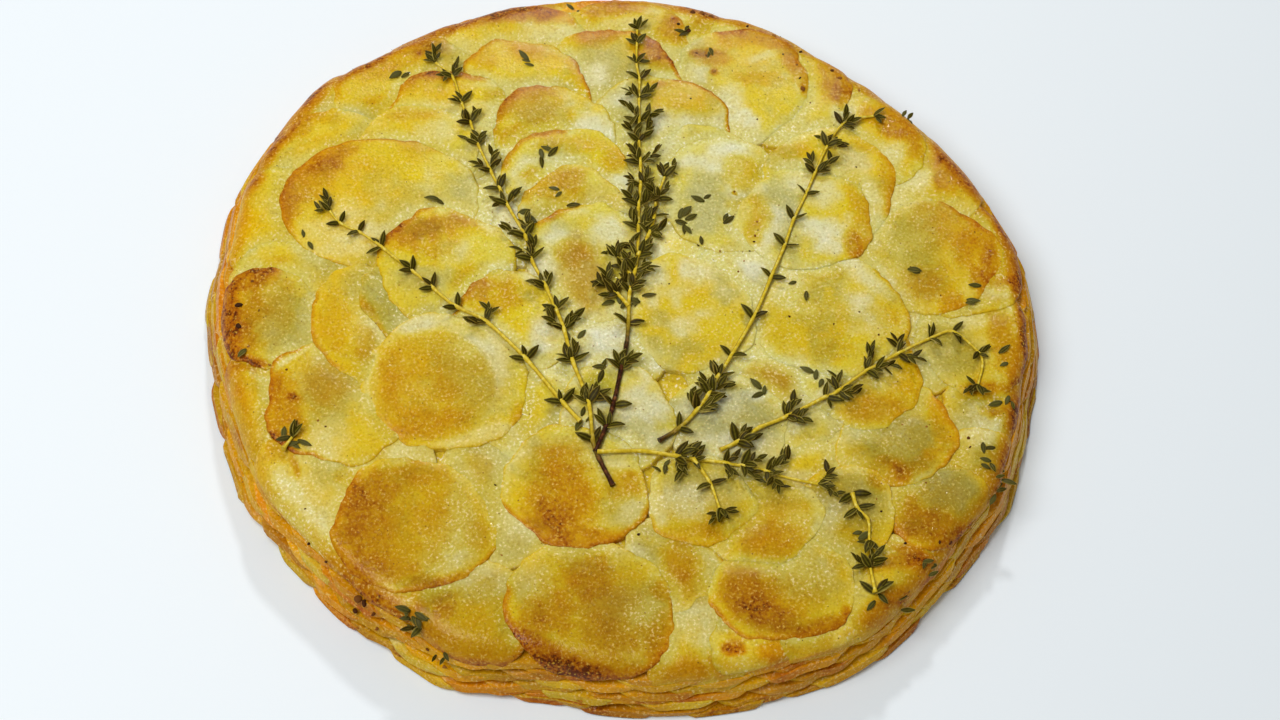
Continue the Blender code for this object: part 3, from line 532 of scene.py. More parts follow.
# %% Olive and rosy places
OLIVE = {
    0: [(-36, -73, 5, 5, 0.4)], 2: [(-12, -12, 5, 5, 0.5), (5, -13, 5, 5, 0.5)],
    8: [(88, -14, 5, 6, 0.5)], 17: [(52, -110, 4, 2, 0.3)], 19: [(113, -37, 2.5, 5, 0.3)],
    20: [(95, -14, 8, 8, 0.4)], 31: [(-64, -97, 4, 5, 0.8), (-60, -109, 5, 4, 0.7)],
    32: [(105, -47, 5, 4, 0.4), (103, -49, 4, 4, 0.4)], 48: [(92, 10, 6, 6, 0.3)],
    59: [(-70, 9, 9, 10, 0.5)], 64: [(-62, -96, 3, 6, 0.5), (-58, -88, 5, 2.5, 0.5)],
    65: [(-62, -85, 6, 3, 0.4)], 73: [(-8, -24, 6, 6, 0.6), (4, -34, 8, 8, 0.4)],
    74: [(-35, -84, 4, 6, 0.4), (-8, -116, 5, 2, 0.4)],
}
ROSY = {
    0: [(-44, -48, 5, 5, 0.4)], 10: [(-92, 80, 7, 6, 0.5)], 14: [(-113, -33, 6, 8, 0.3)],
    15: [(15, -90, 4, 4, 0.5)], 21: [(112, 6, 6, 3, 0.5)], 29: [(-106, 3, 7, 9, 0.35)],
    44: [(-22, 75, 8, 5, 0.4)], 46: [(-26, 70, 8, 3, 0.3)], 48: [(88, 8, 7, 6, 0.5)],
    50: [(88, -62, 7, 6, 0.4)], 51: [(41, -24, 9, 7, 0.8)], 52: [(80, -42, 8, 6, 0.2)],
    53: [(69, -32, 10, 5, 0.5)], 56: [(-8, 42, 9, 5, 0.3)], 57: [(-88, -19, 8, 8, 0.6)],
    58: [(-76, -6, 3, 8, 0.5)], 60: [(-12, 13, 7, 14, 0.8)], 64: [(-45, -84, 8, 4, 0.4)],
    66: [(-46, -20, 10, 12, 0.3)], 70: [(36, -66, 11, 7, 0.3)],
    74: [(-9, -93, 9, 7, 0.6), (-6, -103, 9, 5, 0.4)], 75: [(-20, -43, 11, 4, 0.4)],
}
print(sum(map(len, [*OLIVE.values(), *ROSY.values()])), "olive and rosy places")

# %% Milky places, partly painted sheen
MILKY_AND_SHEEN = {
    0: [(-34, -66, 5, 9, 0.4)], 2: [(-6, -5, 5, 5, 0.6), (-9, -10, 9, 8, 0.4)],
    3: [(-36, 34, 4, 9, 0.5)], 4: [(14, 34, 5, 10, 0.3)], 5: [(40, 20, 5, 8, 0.6)],
    7: [(45, -41, 4, 3, 0.5)], 9: [(-66, -43, 6, 3, 0.5)], 12: [(28, 108, 6, 2.5, 0.6)],
    14: [(-117, -18, 4, 1.4, 0.9, 40)], 15: [(15, -100, 5, 6, 0.4)],
    16: [(26, -114, 7, 4, 0.5, 10)], 17: [(57, -104, 4, 3, 0.8)],
    19: [(104, -38, 6, 3, 0.8, 30), (103, -33, 4, 2.5, 0.7, 20), (106, -42, 4, 2.5, 0.7, -20)],
    20: [(117, -5, 1.6, 7, 0.5, 10), (104, -4, 5, 3, 0.4)], 21: [(114, 6, 5, 2.5, 0.6)],
    23: [(6, 107, 8, 2.5, 0.4), (18, 112, 6, 3, 0.4)], 24: [(-16, 103, 7, 4, 0.5)],
    28: [(-115, 17, 3, 3, 0.6)], 29: [(-106, 13, 3, 2, 0.4)],
    30: [(-96, -60, 8, 15, 0.4, 10), (-95, -64, 17, 5, 0.95, -60)], 32: [(102, -42, 4, 4, 0.6)],
    34: [(93, 47, 5, 5, 0.5)], 35: [(86, 56, 3.5, 5, 0.6, -50), (73, 70, 4, 4, 0.5)],
    36: [(72, 70, 4, 4, 0.9)],
    37: [(50, 93, 5, 1.5, 0.5, 20), (28, 88, 3, 4, 0.5), (38, 76, 4, 5, 0.5), (40, 69, 5, 4, 0.7),
        (62, 84, 4, 6, 0.4)],
    38: [(-3, 87, 4, 4, 0.6)], 40: [(-35, 55, 4, 4, 0.6)], 41: [(-54, 67, 6, 4, 0.4)],
    42: [(20, 70, 7, 3, 0.5)], 43: [(19, 60, 4, 5, 0.3), (19, 50, 4, 5, 0.5)],
    44: [(-5, 68, 5, 4, 0.5)],
    45: [(-82, 26, 9, 3, 0.4), (-76, 31, 7, 3, 0.6, 10), (-88, 32, 6, 4, 0.4),
        (-81, 39, 5, 5, 0.4)],
    46: [(2, 47, 4, 5, 0.6), (5, 43, 4, 5, 0.5)], 47: [(36, 56, 7, 6, 0.5), (37, 46, 4, 5, 0.4)],
    48: [(82, 10, 4, 6, 0.4)], 49: [(74, 54, 5, 4, 0.3)], 51: [(46, -34, 5, 4, 0.4)],
    53: [(75, -22, 5, 5, 0.5)], 54: [(48, 6, 5, 4, 0.85), (72, 13, 9, 3, 0.5, -50)],
    55: [(61, 29, 6, 4, 0.6), (64, 23, 5, 3, 0.5), (63, 42, 5, 5, 0.4), (56, 46, 5, 4, 0.4)],
    57: [(-97, -9, 8, 1.8, 1.0, 42), (-86, -38, 5, 7, 0.2), (-90, -40, 5, 5, 0.5)],
    58: [(-72, -2, 2, 8, 0.5, 20)], 59: [(-59, 7, 5, 4, 0.5)],
    60: [(-19, 27, 4, 4, 0.5), (-2, 0, 6, 4, 0.4), (-3, 30, 5, 5, 0.5), (-22, 16, 3, 8, 0.4)],
    61: [(10, 14, 4, 4, 0.6)], 64: [(-45, -86, 6, 5, 0.35)],
    65: [(-50, -66, 5, 12, 0.5), (-56, -78, 6, 5, 0.4)],
    66: [(-75, -14, 2.5, 10, 0.4), (-44, -38, 12, 2.5, 0.35, 15), (-38, -12, 3, 9, 0.4),
        (-45, -9, 6, 4, 0.5), (-62, 0, 7, 4, 0.6)],
    67: [(-4, -76, 5, 2, 0.6)], 68: [(57, -66, 3, 4, 0.6)], 69: [(45, -85, 8, 6, 0.5)],
    70: [(47, -59, 5, 2.5, 0.3), (45, -70, 5, 5, 0.5)],
    71: [(26, -30, 7, 5, 0.4), (33, -42, 6, 3, 0.4), (24, -44, 8, 5, 0.4), (32, -40, 5, 4, 0.4),
        (39, -45, 5, 4, 0.4)],
    72: [(6, -63, 4, 6, 0.5), (15, -61, 6, 5, 0.6)], 73: [(3, -30, 8, 6, 0.5)],
    74: [(0, -98, 6, 8, 0.45), (-30, -86, 5, 6, 0.4)],
    75: [(-34, -44, 4, 2, 0.4), (0, -62, 5, 8, 0.4)],
}
# The tints in the order in which they are laid on.
TINTS = (
    ("buttery", BUTTERY), ("glassy", GLASSY), ("olive", OLIVE), ("rosy", ROSY), ("milky", MILKY_AND_SHEEN),
)
print(sum(map(len, MILKY_AND_SHEEN.values())), "milky places")

# %% [markdown]
# ## Crisp rims
# The thin rim of a slice dries first, so on many slices a line of gold or brown follows a part of
# the edge. Each row gives the bearings from and to, counted from the right and turning left, the
# line's width in millimetres and its strength. The cake's own rim stood against the hot wall of the
# pan all round, and it browned unevenly there.

# %% Browned rims
RIMS = {
    20: [(-70, 60, 2.5, 0.5)], 21: [(-30, 80, 3, 0.6)], 29: [(80, 265, 2.5, 0.6)],
    30: [(150, 230, 1.6, 0.25)], 36: [(0, 50, 2, 0.45)],
    37: [(-15, 60, 2.4, 0.45), (60, 110, 2.5, 0.4)], 38: [(50, 125, 1.5, 0.35), (0, 45, 1.4, 0.75)],
    39: [(-15, 40, 1.2, 0.5), (100, 155, 1.5, 0.35)],
    40: [(55, 130, 2.5, 0.5), (130, 175, 1.4, 0.4)], 42: [(5, 75, 1.1, 0.55), (-10, 10, 1.5, 0.6)],
    44: [(90, 175, 2.2, 0.4)], 45: [(60, 140, 1.2, 0.5), (140, 195, 2.5, 0.5)],
    46: [(90, 170, 2, 0.4)], 47: [(-65, 15, 1.1, 0.6)],
    48: [(10, 75, 2, 0.4), (-70, -15, 1.5, 0.3)], 49: [(-40, 35, 2, 0.3)],
    50: [(200, 340, 1.3, 0.4)], 52: [(-50, 45, 1.6, 0.3)], 53: [(-70, 45, 1.6, 0.25)],
    54: [(-25, 50, 1.2, 0.25)], 55: [(-50, 25, 1.6, 0.35)], 57: [(120, 255, 1.4, 0.5)],
    58: [(150, 235, 1.3, 0.4)], 60: [(95, 135, 1.2, 0.45)], 62: [(100, 170, 1.6, 0.45)],
    63: [(115, 180, 1.6, 0.4)], 64: [(215, 330, 2, 0.45)],
    65: [(130, 235, 1.3, 0.45), (235, 340, 1.2, 0.45)], 67: [(-20, 70, 1.2, 0.3)],
    69: [(190, 335, 1.4, 0.5)], 72: [(200, 330, 1.2, 0.25)],
    74: [(160, 330, 1.8, 0.55), (330, 370, 1.2, 0.35)], 75: [(195, 340, 1.4, 0.45)],
}
# The browning of the cake's own rim: angle round the cake and strength.
CAKE_RIM = (
    (0, 0.52), (15, 0.50), (30, 0.48), (45, 0.42), (60, 0.42), (68, 0.55), (75, 0.80), (82, 0.55),
    (90, 0.66), (100, 0.76), (112, 0.82), (122, 0.76), (132, 0.64), (142, 0.76), (150, 0.68),
    (155, 0.48), (160, 0.25), (170, 0.22), (175, 0.42), (180, 0.55), (188, 0.38), (195, 0.20),
    (203, 0.26), (215, 0.08), (222, 0.55), (228, 0.90), (235, 0.50), (242, 0.28), (252, 0.36),
    (263, 0.48), (275, 0.26), (285, 0.18), (295, 0.20), (305, 0.34), (315, 0.50), (325, 0.42),
    (335, 0.58), (345, 0.62), (355, 0.56),
)


def cake_rim_browning(angle):
    angles, amounts = zip(*CAKE_RIM)
    return np.interp(np.degrees(angle) % 360, angles, amounts, period=360)


print(sum(map(len, RIMS.values())), "crisp rims")

# %% [markdown]
# ## Embossed rings
# A slice is thin enough to show the rim of one that lies under it, as a shallow ring. Inside the
# ring it was pressed on the pan and browned a little, and outside it is hollow and pale. Each row:
# the slice, the middle and radius of the ring, its depth and how strongly it marks the colour.

# %% Rings that show through
RINGS = (
    (66, -57, -21, 18.0, 0.35, 0.16), (54, 53, 0, 14.5, 0.18, 0.10),
    (48, 93, 22, 15.5, 0.15, 0.12), (70, 37, -67, 13.0, 0.18, 0.15),
    (56, -19, 46, 10.5, 0.20, 0.15), (44, -23, 73, 12.0, 0.15, 0.10),
    (74, -10, -96, 16.0, 0.15, 0.10), (65, -70, -66, 17.0, 0.12, 0.08),
    (69, 37, -88, 15.0, 0.15, 0.10), (53, 69, -29, 10.0, 0.12, 0.10),
    (51, 41, -24, 9.0, 0.12, 0.08), (75, -19, -57, 15.0, 0.12, 0.08),
    (60, -12, 18, 12.0, 0.10, 0.05), (52, 76, -46, 11.0, 0.12, 0.08),
    (50, 83, -66, 10.0, 0.12, 0.08),
)
print(len(RINGS), "rings show through")

# %% [markdown]
# ## Colours
# Colours are picked as a painter names them, in sRGB, and turned to the linear values that light
# needs by one function. The flesh tints are mixed on the mesh, point by point. Some slices are made
# duller or brighter as a whole, by a listed factor.

# %% Palette
def linear(hex_colour):
    """An sRGB hex colour as linear red, green and blue."""
    parts = [int(hex_colour[i:i + 2], 16) / 255 for i in (1, 3, 5)]
    return tuple(c / 12.92 if c <= 0.04045 else ((c + 0.055) / 1.055) ** 2.4 for c in parts)


# Milky is trapped starch and partly painted sheen, seam is what fills the step between slices,
# and amber is fried flesh.
FLESH = {
    "straw": "#DECE58", "buttery": "#E8CC04", "glassy": "#BCB67C", "olive": "#9C9634",
    "rosy": "#C2A25E", "milky": "#E6E3C8", "seam": "#E0DB96", "amber": "#E8B624",
}
TONES = {
    0: 0.90, 4: 1.20, 6: 1.12, 15: 1.00, 16: 1.25, 17: 1.35, 19: 0.88, 30: 1.02, 50: 0.82, 52: 0.88,
    59: 1.12, 64: 0.85, 65: 0.90, 67: 0.87, 68: 0.77, 69: 0.90, 71: 0.93, 72: 0.88, 74: 0.85,
}
TONE_FADE = 0.0060  # how far from its edge a slice has its full tone


def tint(name):
    """One of the flesh tints as an array, ready for mixing."""
    return np.array(linear(FLESH[name]))


def between(first, second, share):
    """A colour on the way from one tint to another."""
    return tint(first) * (1 - share) + tint(second) * share


print(len(FLESH), "tints of flesh")

# %% [markdown]
# ## Covering one thing with another
# Butter over starch over flesh hides in steps: what one covering leaves to be seen, the next may
# hide. So strengths are never added. The shares that they leave are multiplied. Dabs, rim lines
# and seams all have uneven borders, because heat and butter creep.

# %% Dabs and rim lines
DAB_REACH = 1.5  # a dab has faded out at this many times its half size
DAB_WANDER, DAB_BORDERS = (0.20, 0.14), (3.1, 1.3)  # how far its border wanders, over how many mm
LINE_FADE = 0.25  # radians over which a rim line begins and ends
MELTED_LARGE, MELTED_SMALL = 19.0, 7.0  # mm, the stretches where a step has closed


def together(*covers):
    """Several coverings on each other, from 0 to 1: what any of them hides is hidden."""
    left = 1
    for cover in covers:
        left = left * (1 - cover)
    return 1 - left


def dab_at(x, y, seed, middle_x, middle_y, half_length, half_width, amount, turn=0):
    """How strongly one dab acts at each point."""
    cos, sin = math.cos(math.radians(turn)), math.sin(math.radians(turn))
    dx, dy = x - middle_x, y - middle_y
    away = np.hypot((dx * cos + dy * sin) / half_length, (dy * cos - dx * sin) / half_width)
    coarse, fine = (wander(x, y, size, seed + k) for k, size in enumerate(DAB_BORDERS))
    away += DAB_WANDER[0] * coarse + DAB_WANDER[1] * fine
    return amount * smooth(DAB_REACH - away)


def dabs_at(rows, x, y, seed):
    return together(np.zeros_like(x), *(dab_at(x, y, seed, *row) for row in rows))


def rim_line(piece, bearing, distance):
    """The browning of a slice's own rim, by bearing and by distance from the edge."""
    left = np.ones_like(distance)
    for first, last, width, amount in RIMS.get(piece.index, ()):
        middle, half = math.radians((first + last) / 2), math.radians((last - first) / 2)
        off = np.abs(np.angle(np.exp(1j * (bearing - middle))))
        along = smooth((half - off) / LINE_FADE + 0.5)
        across = smooth(1.3 - distance / (1.15 * width * MM))
        left *= 1 - min(1.25 * amount, 0.95) * along * across
    return 1 - left


def in_layout(x, y):
    """Places of the unrolled plane in the layout's own millimetres."""
    return (x - LAYOUT_SHIFT[0]) / MM, (y - LAYOUT_SHIFT[1]) / MM


def melted(x, y, line):
    """Where the step between slices is closed, from 0 to 1. Crisp rims stay open."""
    field = wander(x, y, MELTED_LARGE, 31) + 0.6 * wander(x, y, MELTED_SMALL, 32)
    return smooth(field / 0.6 + 0.9) * (1 - smooth(2 * line))


# %% [markdown]
# ## The flesh of one slice
# The middle of the cake stayed wetter than its outside, where the pan was hotter, so more starch
# and glassy flesh show there. Besides the listed places, each tint has soft clouds of its own,
# drawn by a smooth random function, and butter creeps in from a slice's rim.
# Part of the middle's whiter, cooler cast is painted sheen.

# %% Flesh and its clouds
WET_MIDDLE, WET_REACH, WET_FADE = (8, 18), 100, 55  # mm
# Partly painted sheen: the wet middle's cast whitens and cools the flesh there.
WET_SHEEN_CAST = np.array([-0.05, 0.00, 0.14])  # what the wet middle adds to red, green and blue
OWN_BUTTER = 0.3  # the most butter that a slice soaked up as a whole
RIM_BAND = 0.0030  # how far butter and heat reach in from a slice's rim
# The clouds of a tint: strength, what the wet middle adds to it, the sizes of its large and small
# patches in mm, the level where they begin, how softly they begin, and a seed.
CLOUDS = {
    "milky": (0.3, 0.5, 10.0, 3.6, 0.0, 1.1, 41),
    "glassy": (0.4, 0.3, 9.0, 3.1, 0.0, 1.1, 43),
    "buttery": (0.55, 0.0, 7.0, 2.7, 0.15, 0.6, 45),
}


def cloud(name, x, y, wet, own):
    """How strongly a tint's clouds act at each point, from 0 to 1."""
    if name not in CLOUDS:
        return 0.0
    strength, in_wet, large, small, level, fade, seed = CLOUDS[name]
    field = wander(x, y, large, seed + own) + 0.5 * wander(x, y, small, seed + 1)
    return (strength + in_wet * wet) * smooth((field - level) / fade)


def tinted_flesh(piece, x, y, rim, wet, dipped):
    """The flesh before it browned, and how much starch has pooled on it."""
    colour = np.tile(tint("straw"), (len(x), 1))
    own = random.Random(1000 + piece.index).uniform(0.0, OWN_BUTTER)
    # Pooled starch also decides where the finish paints its white glints.
    pooled = np.maximum((0.5 + 0.5 * wet) * smooth(dipped / SLICE_STEP), 0.25 * wet)
    for name, table in TINTS:
        weight = dabs_at(table.get(piece.index, ()), x, y, len(name) + piece.index)
        if name in ("milky", "glassy"):
            weight = np.minimum(1.35 * weight, 1)
        weight = together(weight, cloud(name, x, y, wet, own))
        if name == "buttery":
            weight = together(weight, own, 0.4 * rim, 0.3 * (1 - wet))
        if name == "glassy":
            weight = together(weight, 0.35 * smooth(dipped / SLICE_STEP - 0.2))
        if name == "milky":
            pooled = np.maximum(pooled, 0.9 * weight)
        colour += weight[:, None] * (tint(name) - colour)
    return colour, pooled


# %% [markdown]
# ## The browning of one slice
# Four things browned a slice: the places where it lay hard on the pan, its own thin rim, the rings
# of slices below that pressed it down, and the pan's hot wall. It stayed paler where another slice
# lay on it, and where butter and starch filled the step between two slices.

# %% Browning
# The browning is made stronger towards the front, by this much for each mm.
MORE_BROWNING_TO_FRONT = 0.0016  # how much more the front browned than the back, for each mm
FAINT_EDGE = 0.0009  # the thin tan line that some slices have all round
RING_FADE = 2.5  # mm
WALL_START, WALL_FADE = 1.5, 5.0  # mm past the flat top
WALL_EARLIER, WALL_FRONT = 3.0, 60  # mm further in, but not this far forward
WALL_PATCHES = (6.0, 2.2)  # mm


def own_browning(piece, x, y, wet, covered):
    """The browning of the listed places, with a faint tan on the drier outside of the cake."""
    brown = dabs_at(BROWNED.get(piece.index, ()), x, y, 7 + piece.index)
    pressed = 1 - 0.30 * covered
    return together(brown * pressed * (1 - MORE_BROWNING_TO_FRONT * y), 0.12 * (1 - wet))


def edge_browning(piece, brown, x, y, line, distance):
    """Adds the slice's crisp rim and the rings of slices below it."""
    crisp = random.Random(2000 + piece.index).uniform(-0.12, 0.22)
    faint = max(crisp, 0.0) * smooth(1.2 - distance / FAINT_EDGE)
    brown = together(brown, 0.8 * line, faint)
    for owner, ring_x, ring_y, radius, _, mark in RINGS:
        if owner == piece.index:
            inside = smooth((radius - np.hypot(x - ring_x, y - ring_y)) / RING_FADE + 0.5)
            brown = together(brown, mark * inside)
    return brown


def wall_browning(x, y, angle, past):
    """What the pan's hot wall did: further in where it was stronger, except at the front."""
    large, small = WALL_PATCHES
    patchy = 1 + 0.25 * wander(x, y, large, 11) + 0.25 * wander(x, y, small, 12)
    amount = cake_rim_browning(angle)
    earlier = WALL_EARLIER * amount * (1 - smooth(-y / WALL_FRONT))
    wall = amount * smooth((past - WALL_START + earlier) / WALL_FADE) * patchy
    return np.clip(wall, 0, 0.95)


# %% Painting one slice
# Painted light and shade: the flesh is drawn brighter towards the back and darker towards the front.
PAINTED_LIGHT_TO_BACK = 0.0007  # for each mm


def paint(piece, pan_x, pan_y, bearing, distance, dipped):
    """The flesh colour, the browning and the pooled starch at each point of a slice."""
    x, y = in_layout(pan_x, pan_y)
    rim, covered = smooth(1.2 - distance / RIM_BAND), smooth(dipped / SLICE_STEP)
    wet = smooth((WET_REACH - np.hypot(x - WET_MIDDLE[0], y - WET_MIDDLE[1])) / WET_FADE)
    colour, pooled = tinted_flesh(piece, x, y, rim, wet, dipped)
    tone = (1 + (TONES.get(piece.index, 1.0) - 1) * smooth(distance / TONE_FADE))[:, None]
    # Each slice's listed tone, and the painted light and shade from back to front.
    colour *= tone * (1 + PAINTED_LIGHT_TO_BACK * y[:, None])
    # The wet middle's cast, partly painted sheen.
    colour *= 1 + wet[:, None] * WET_SHEEN_CAST
    along_edge = rim_line(piece, bearing, distance * 0)
    seam = np.maximum(smooth(1.1 - distance / SEAM_WIDTH) * melted(x, y, along_edge),
                      covered * melted(x, y, distance * 0))
    filled = ((0.30 + 0.50 * wet) * seam)[:, None]
    colour += filled * (tint("seam") - colour)
    pooled = np.maximum(pooled, (0.4 + 0.4 * wet) * seam)
    brown = own_browning(piece, x, y, wet, covered) * (1 - 0.5 * seam)
    brown = edge_browning(piece, brown, x, y, rim_line(piece, bearing, distance), distance)
    angle = np.arctan2(pan_y, pan_x)
    past = (np.hypot(pan_x, pan_y) - shoulder_start(angle)) / MM
    brown = together(brown, wall_browning(x, y, angle, past))
    thin = np.maximum(rim, smooth(past / 3.0))
    fried = (smooth(1.5 * brown) * (0.15 + 0.45 * thin))[:, None]
    colour += fried * (tone * tint("amber") - colour)
    return np.clip(colour, 0, 1), np.clip(brown, 0, 1), pooled


# %% [markdown]
# ## Laying the slices
# Each slice is a copy of the blank with its own mesh. Its points are moved to the slice's outline,
# bent on the pan, and sunk where other slices lie over it. Rings and a slight unevenness are
# pressed in, and the paint goes on while the places are known. Slices that lie together are joined
# into one piece, so that the whole stays light to handle.

# %% Meshes and what they carry
def coordinates(mesh):
    flat = np.empty(len(mesh.vertices) * 3)
    mesh.vertices.foreach_get("co", flat)
    return flat.reshape(-1, 3)


def move_points(mesh, spots):
    mesh.vertices.foreach_set("co", np.ravel(spots))


def store(mesh, name, kind, values):
    """Keeps one value for each point of a mesh under a name that a material can read."""
    field = "color" if kind == "FLOAT_COLOR" else "value"
    mesh.attributes.new(name, kind, "POINT").data.foreach_set(field, np.ravel(values))


def store_number(mesh, name, value):
    store(mesh, name, "FLOAT", np.full(len(mesh.vertices), value))


def store_potato(mesh, colour, browning, pooled):
    """Keeps what the potato's finish reads. Each may be one value or one for each point."""
    colours = np.ones((len(mesh.vertices), 4))
    colours[:, :3] = colour
    store(mesh, "flesh", "FLOAT_COLOR", colours)
    store_number(mesh, "browning", browning)
    store_number(mesh, "pooled", pooled)
    mesh.update()


def placed(name, data):
    """A new object with this mesh or curve."""
    made = bpy.data.objects.new(name, data)
    bpy.context.scene.collection.objects.link(made)
    return made


def joined(name, pieces):
    bpy.ops.object.select_all(action="DESELECT")
    for piece in pieces:
        piece.select_set(True)
    bpy.context.view_layer.objects.active = pieces[0]
    if len(pieces) > 1:
        bpy.ops.object.join()
    pieces[0].name = name
    return pieces[0]


# %% Pressing in the relief
FLAT_DEPTH = 0.16  # mm, so that the unevenness only presses in
UNEVEN = ((13.0, 0.12, 21), (5.0, 0.07, 22), (2.4, 0.03, 23))  # size, depth in mm and seed
RING_OUTSIDE, RING_WIDTH = 1.2, 1.6  # mm, where the hollow round a ring lies


def pressed_in(piece, pan_x, pan_y):
    """The depth of a slice's own relief: rings that show through, and unevenness."""
    x, y = in_layout(pan_x, pan_y)
    relief = np.full_like(x, FLAT_DEPTH * MM)
    for size, depth, seed in UNEVEN:
        relief += depth * MM * wander(x, y, size, seed)
    for owner, ring_x, ring_y, radius, ring_depth, _ in RINGS:
        if owner == piece.index:
            away = np.hypot(x - ring_x, y - ring_y) - radius
            relief += ring_depth * MM * (np.exp(-((away - RING_OUTSIDE) / RING_WIDTH) ** 2))
    return np.maximum(relief, 0.0)


# %% Laying one slice
def laid(piece, slices_over):
    mesh = blank.data.copy()
    flat = coordinates(mesh)
    bearing = np.arctan2(flat[:, 1], flat[:, 0])
    share = np.hypot(flat[:, 0], flat[:, 1]) / SLICE_RADIUS
    end = trimmed(piece, bearing)
    round_edge = piece.half_length / MM * np.stack([np.cos(bearing), np.sin(bearing)])
    ragged = wander(*round_edge, RAGGED_COARSE, piece.index)
    ragged = ragged + 0.5 * wander(*round_edge, RAGGED_FINE, piece.index)
    outer_quarter = smooth(share * 4 - 3)
    end *= 1 + RAGGED_EDGE / piece.half_length * ragged * outer_quarter * (end > 0.999)
    x, y = piece.point(share * end, bearing)
    dipped = dip(x, y, slices_over)
    distance = np.maximum(1 - share, 0) * end * piece.half_length
    thinned = random.Random(500 + piece.index).uniform(TAPER_LEAST, TAPER_MOST)
    crisp = rim_line(piece, bearing, distance * 0)
    closed = melted(*in_layout(x, y), 0.25 * crisp)
    taper = thinned + MELTED_TAPER * closed
    taper = taper * smooth(1 - distance / (TAPER_WIDTH * (1 + closed)))
    depth = dipped + pressed_in(piece, x, y) + taper - flat[:, 2]
    move_points(mesh, on_pan(x, y, depth))
    store_potato(mesh, *paint(piece, x, y, bearing, distance, dipped))
    return placed(f"slice_{piece.index}", mesh)


# %% Laying and joining
GROUPS = {
    "slices_lowest": (0, 23), "slices_rim": (23, 38), "slices_back": (38, 48),
    "slices_right": (48, 56), "slices_middle": (56, 64), "slices_front": (64, 76),
}
potato = {}
for name, (first, last) in GROUPS.items():
    sheets = [laid(piece, slices[piece.index + 1:]) for piece in slices[first:last]]
    potato[name] = joined(name, sheets)
bpy.data.objects.remove(blank)
print({name: len(piece.data.polygons) for name, piece in potato.items()})

# %% [markdown]
# ## The layered side
# Under the slices of the top lie about eight layers more, and their edges show all round the wall.
# Each layer is a ring of lighter slices, shingled like tiles: every one leans on the next. They are
# pushed against the pan's wall, so the parts that would stick out of it are drawn back to it and
# browned. The flat ends are poked into fans only after the bevel, which would split every spoke.

# %% A slice for the side
LAYERS = 8
LAYER_HEIGHT = 0.00185
SIDE_RADIUS = 0.0205
SIDE_SLICES = 27  # in one layer
SIDE_OVERLAP, SIDE_ROUNDING = 0.0005, 0.00045

bpy.ops.object.select_all(action="DESELECT")
bpy.ops.mesh.primitive_cylinder_add(
    vertices=72, radius=SIDE_RADIUS, depth=LAYER_HEIGHT + SIDE_OVERLAP, end_fill_type="NGON"
)
side_blank = bpy.context.active_object
bpy.ops.object.mode_set(mode="EDIT")
bpy.ops.mesh.select_mode(type="FACE")
select_faces(side_blank, lambda face: abs(face.normal.z) > 0.9)
bpy.ops.mesh.bevel(offset=SIDE_ROUNDING, segments=2, affect="EDGES")
select_faces(side_blank, lambda face: abs(face.normal.z) > 0.999)
bpy.ops.mesh.poke()
bpy.ops.object.mode_set(mode="OBJECT")
print("a slice of the side has", len(side_blank.data.polygons), "faces")

# %% Leaning on the next
LAYER_TURN = 0.37  # of a slice, from one layer to the next
LEAN = 0.060  # how much a slice rises towards the next one, for each metre
STANDS_OUT = 0.0016  # how far it would stick out, were there no wall
SIDE_INSET, EVERY_THIRD = 0.0008, 0.0002  # how far its edge stays in, and one layer in three more
WRINKLE, WRINKLE_SIZE = 0.0006, 1.6
BED, BED_STEP = 0.0001, 0.000012  # slices that share one flat bed would show dark patches
TOP_OVERLAP = 0.0004
PUSHED_IN, PUSHED_MOST = 0.10, 0.0020  # what sticks out further is pushed in a little further
ANGLE_IN_MM = 60  # turns an angle into a rough length for the random patterns
SIDE_TINTS = (("straw", "amber"), ("buttery", "amber"), ("rosy", "amber"), ("straw", "seam"))
SIDE_WARMTH = np.array([1.0, 0.86, 0.60])
SIDE_BROWNING, BROWN_FADE, BROWN_PATCH = 0.50, 0.0012, 4.0  # at the wall. The patch is in mm.
# At the foot of the side, added browning that is partly painted shade.
FOOT_BROWNING_AND_SHADE, FOOT_HEIGHT = 0.25, 0.0050


def wall_radius(angle, height):
    """The radius of the pan's wall at a height, its rounded shoulder left out."""
    return base_radius(angle) - height / math.tan(WALL_SLOPE)


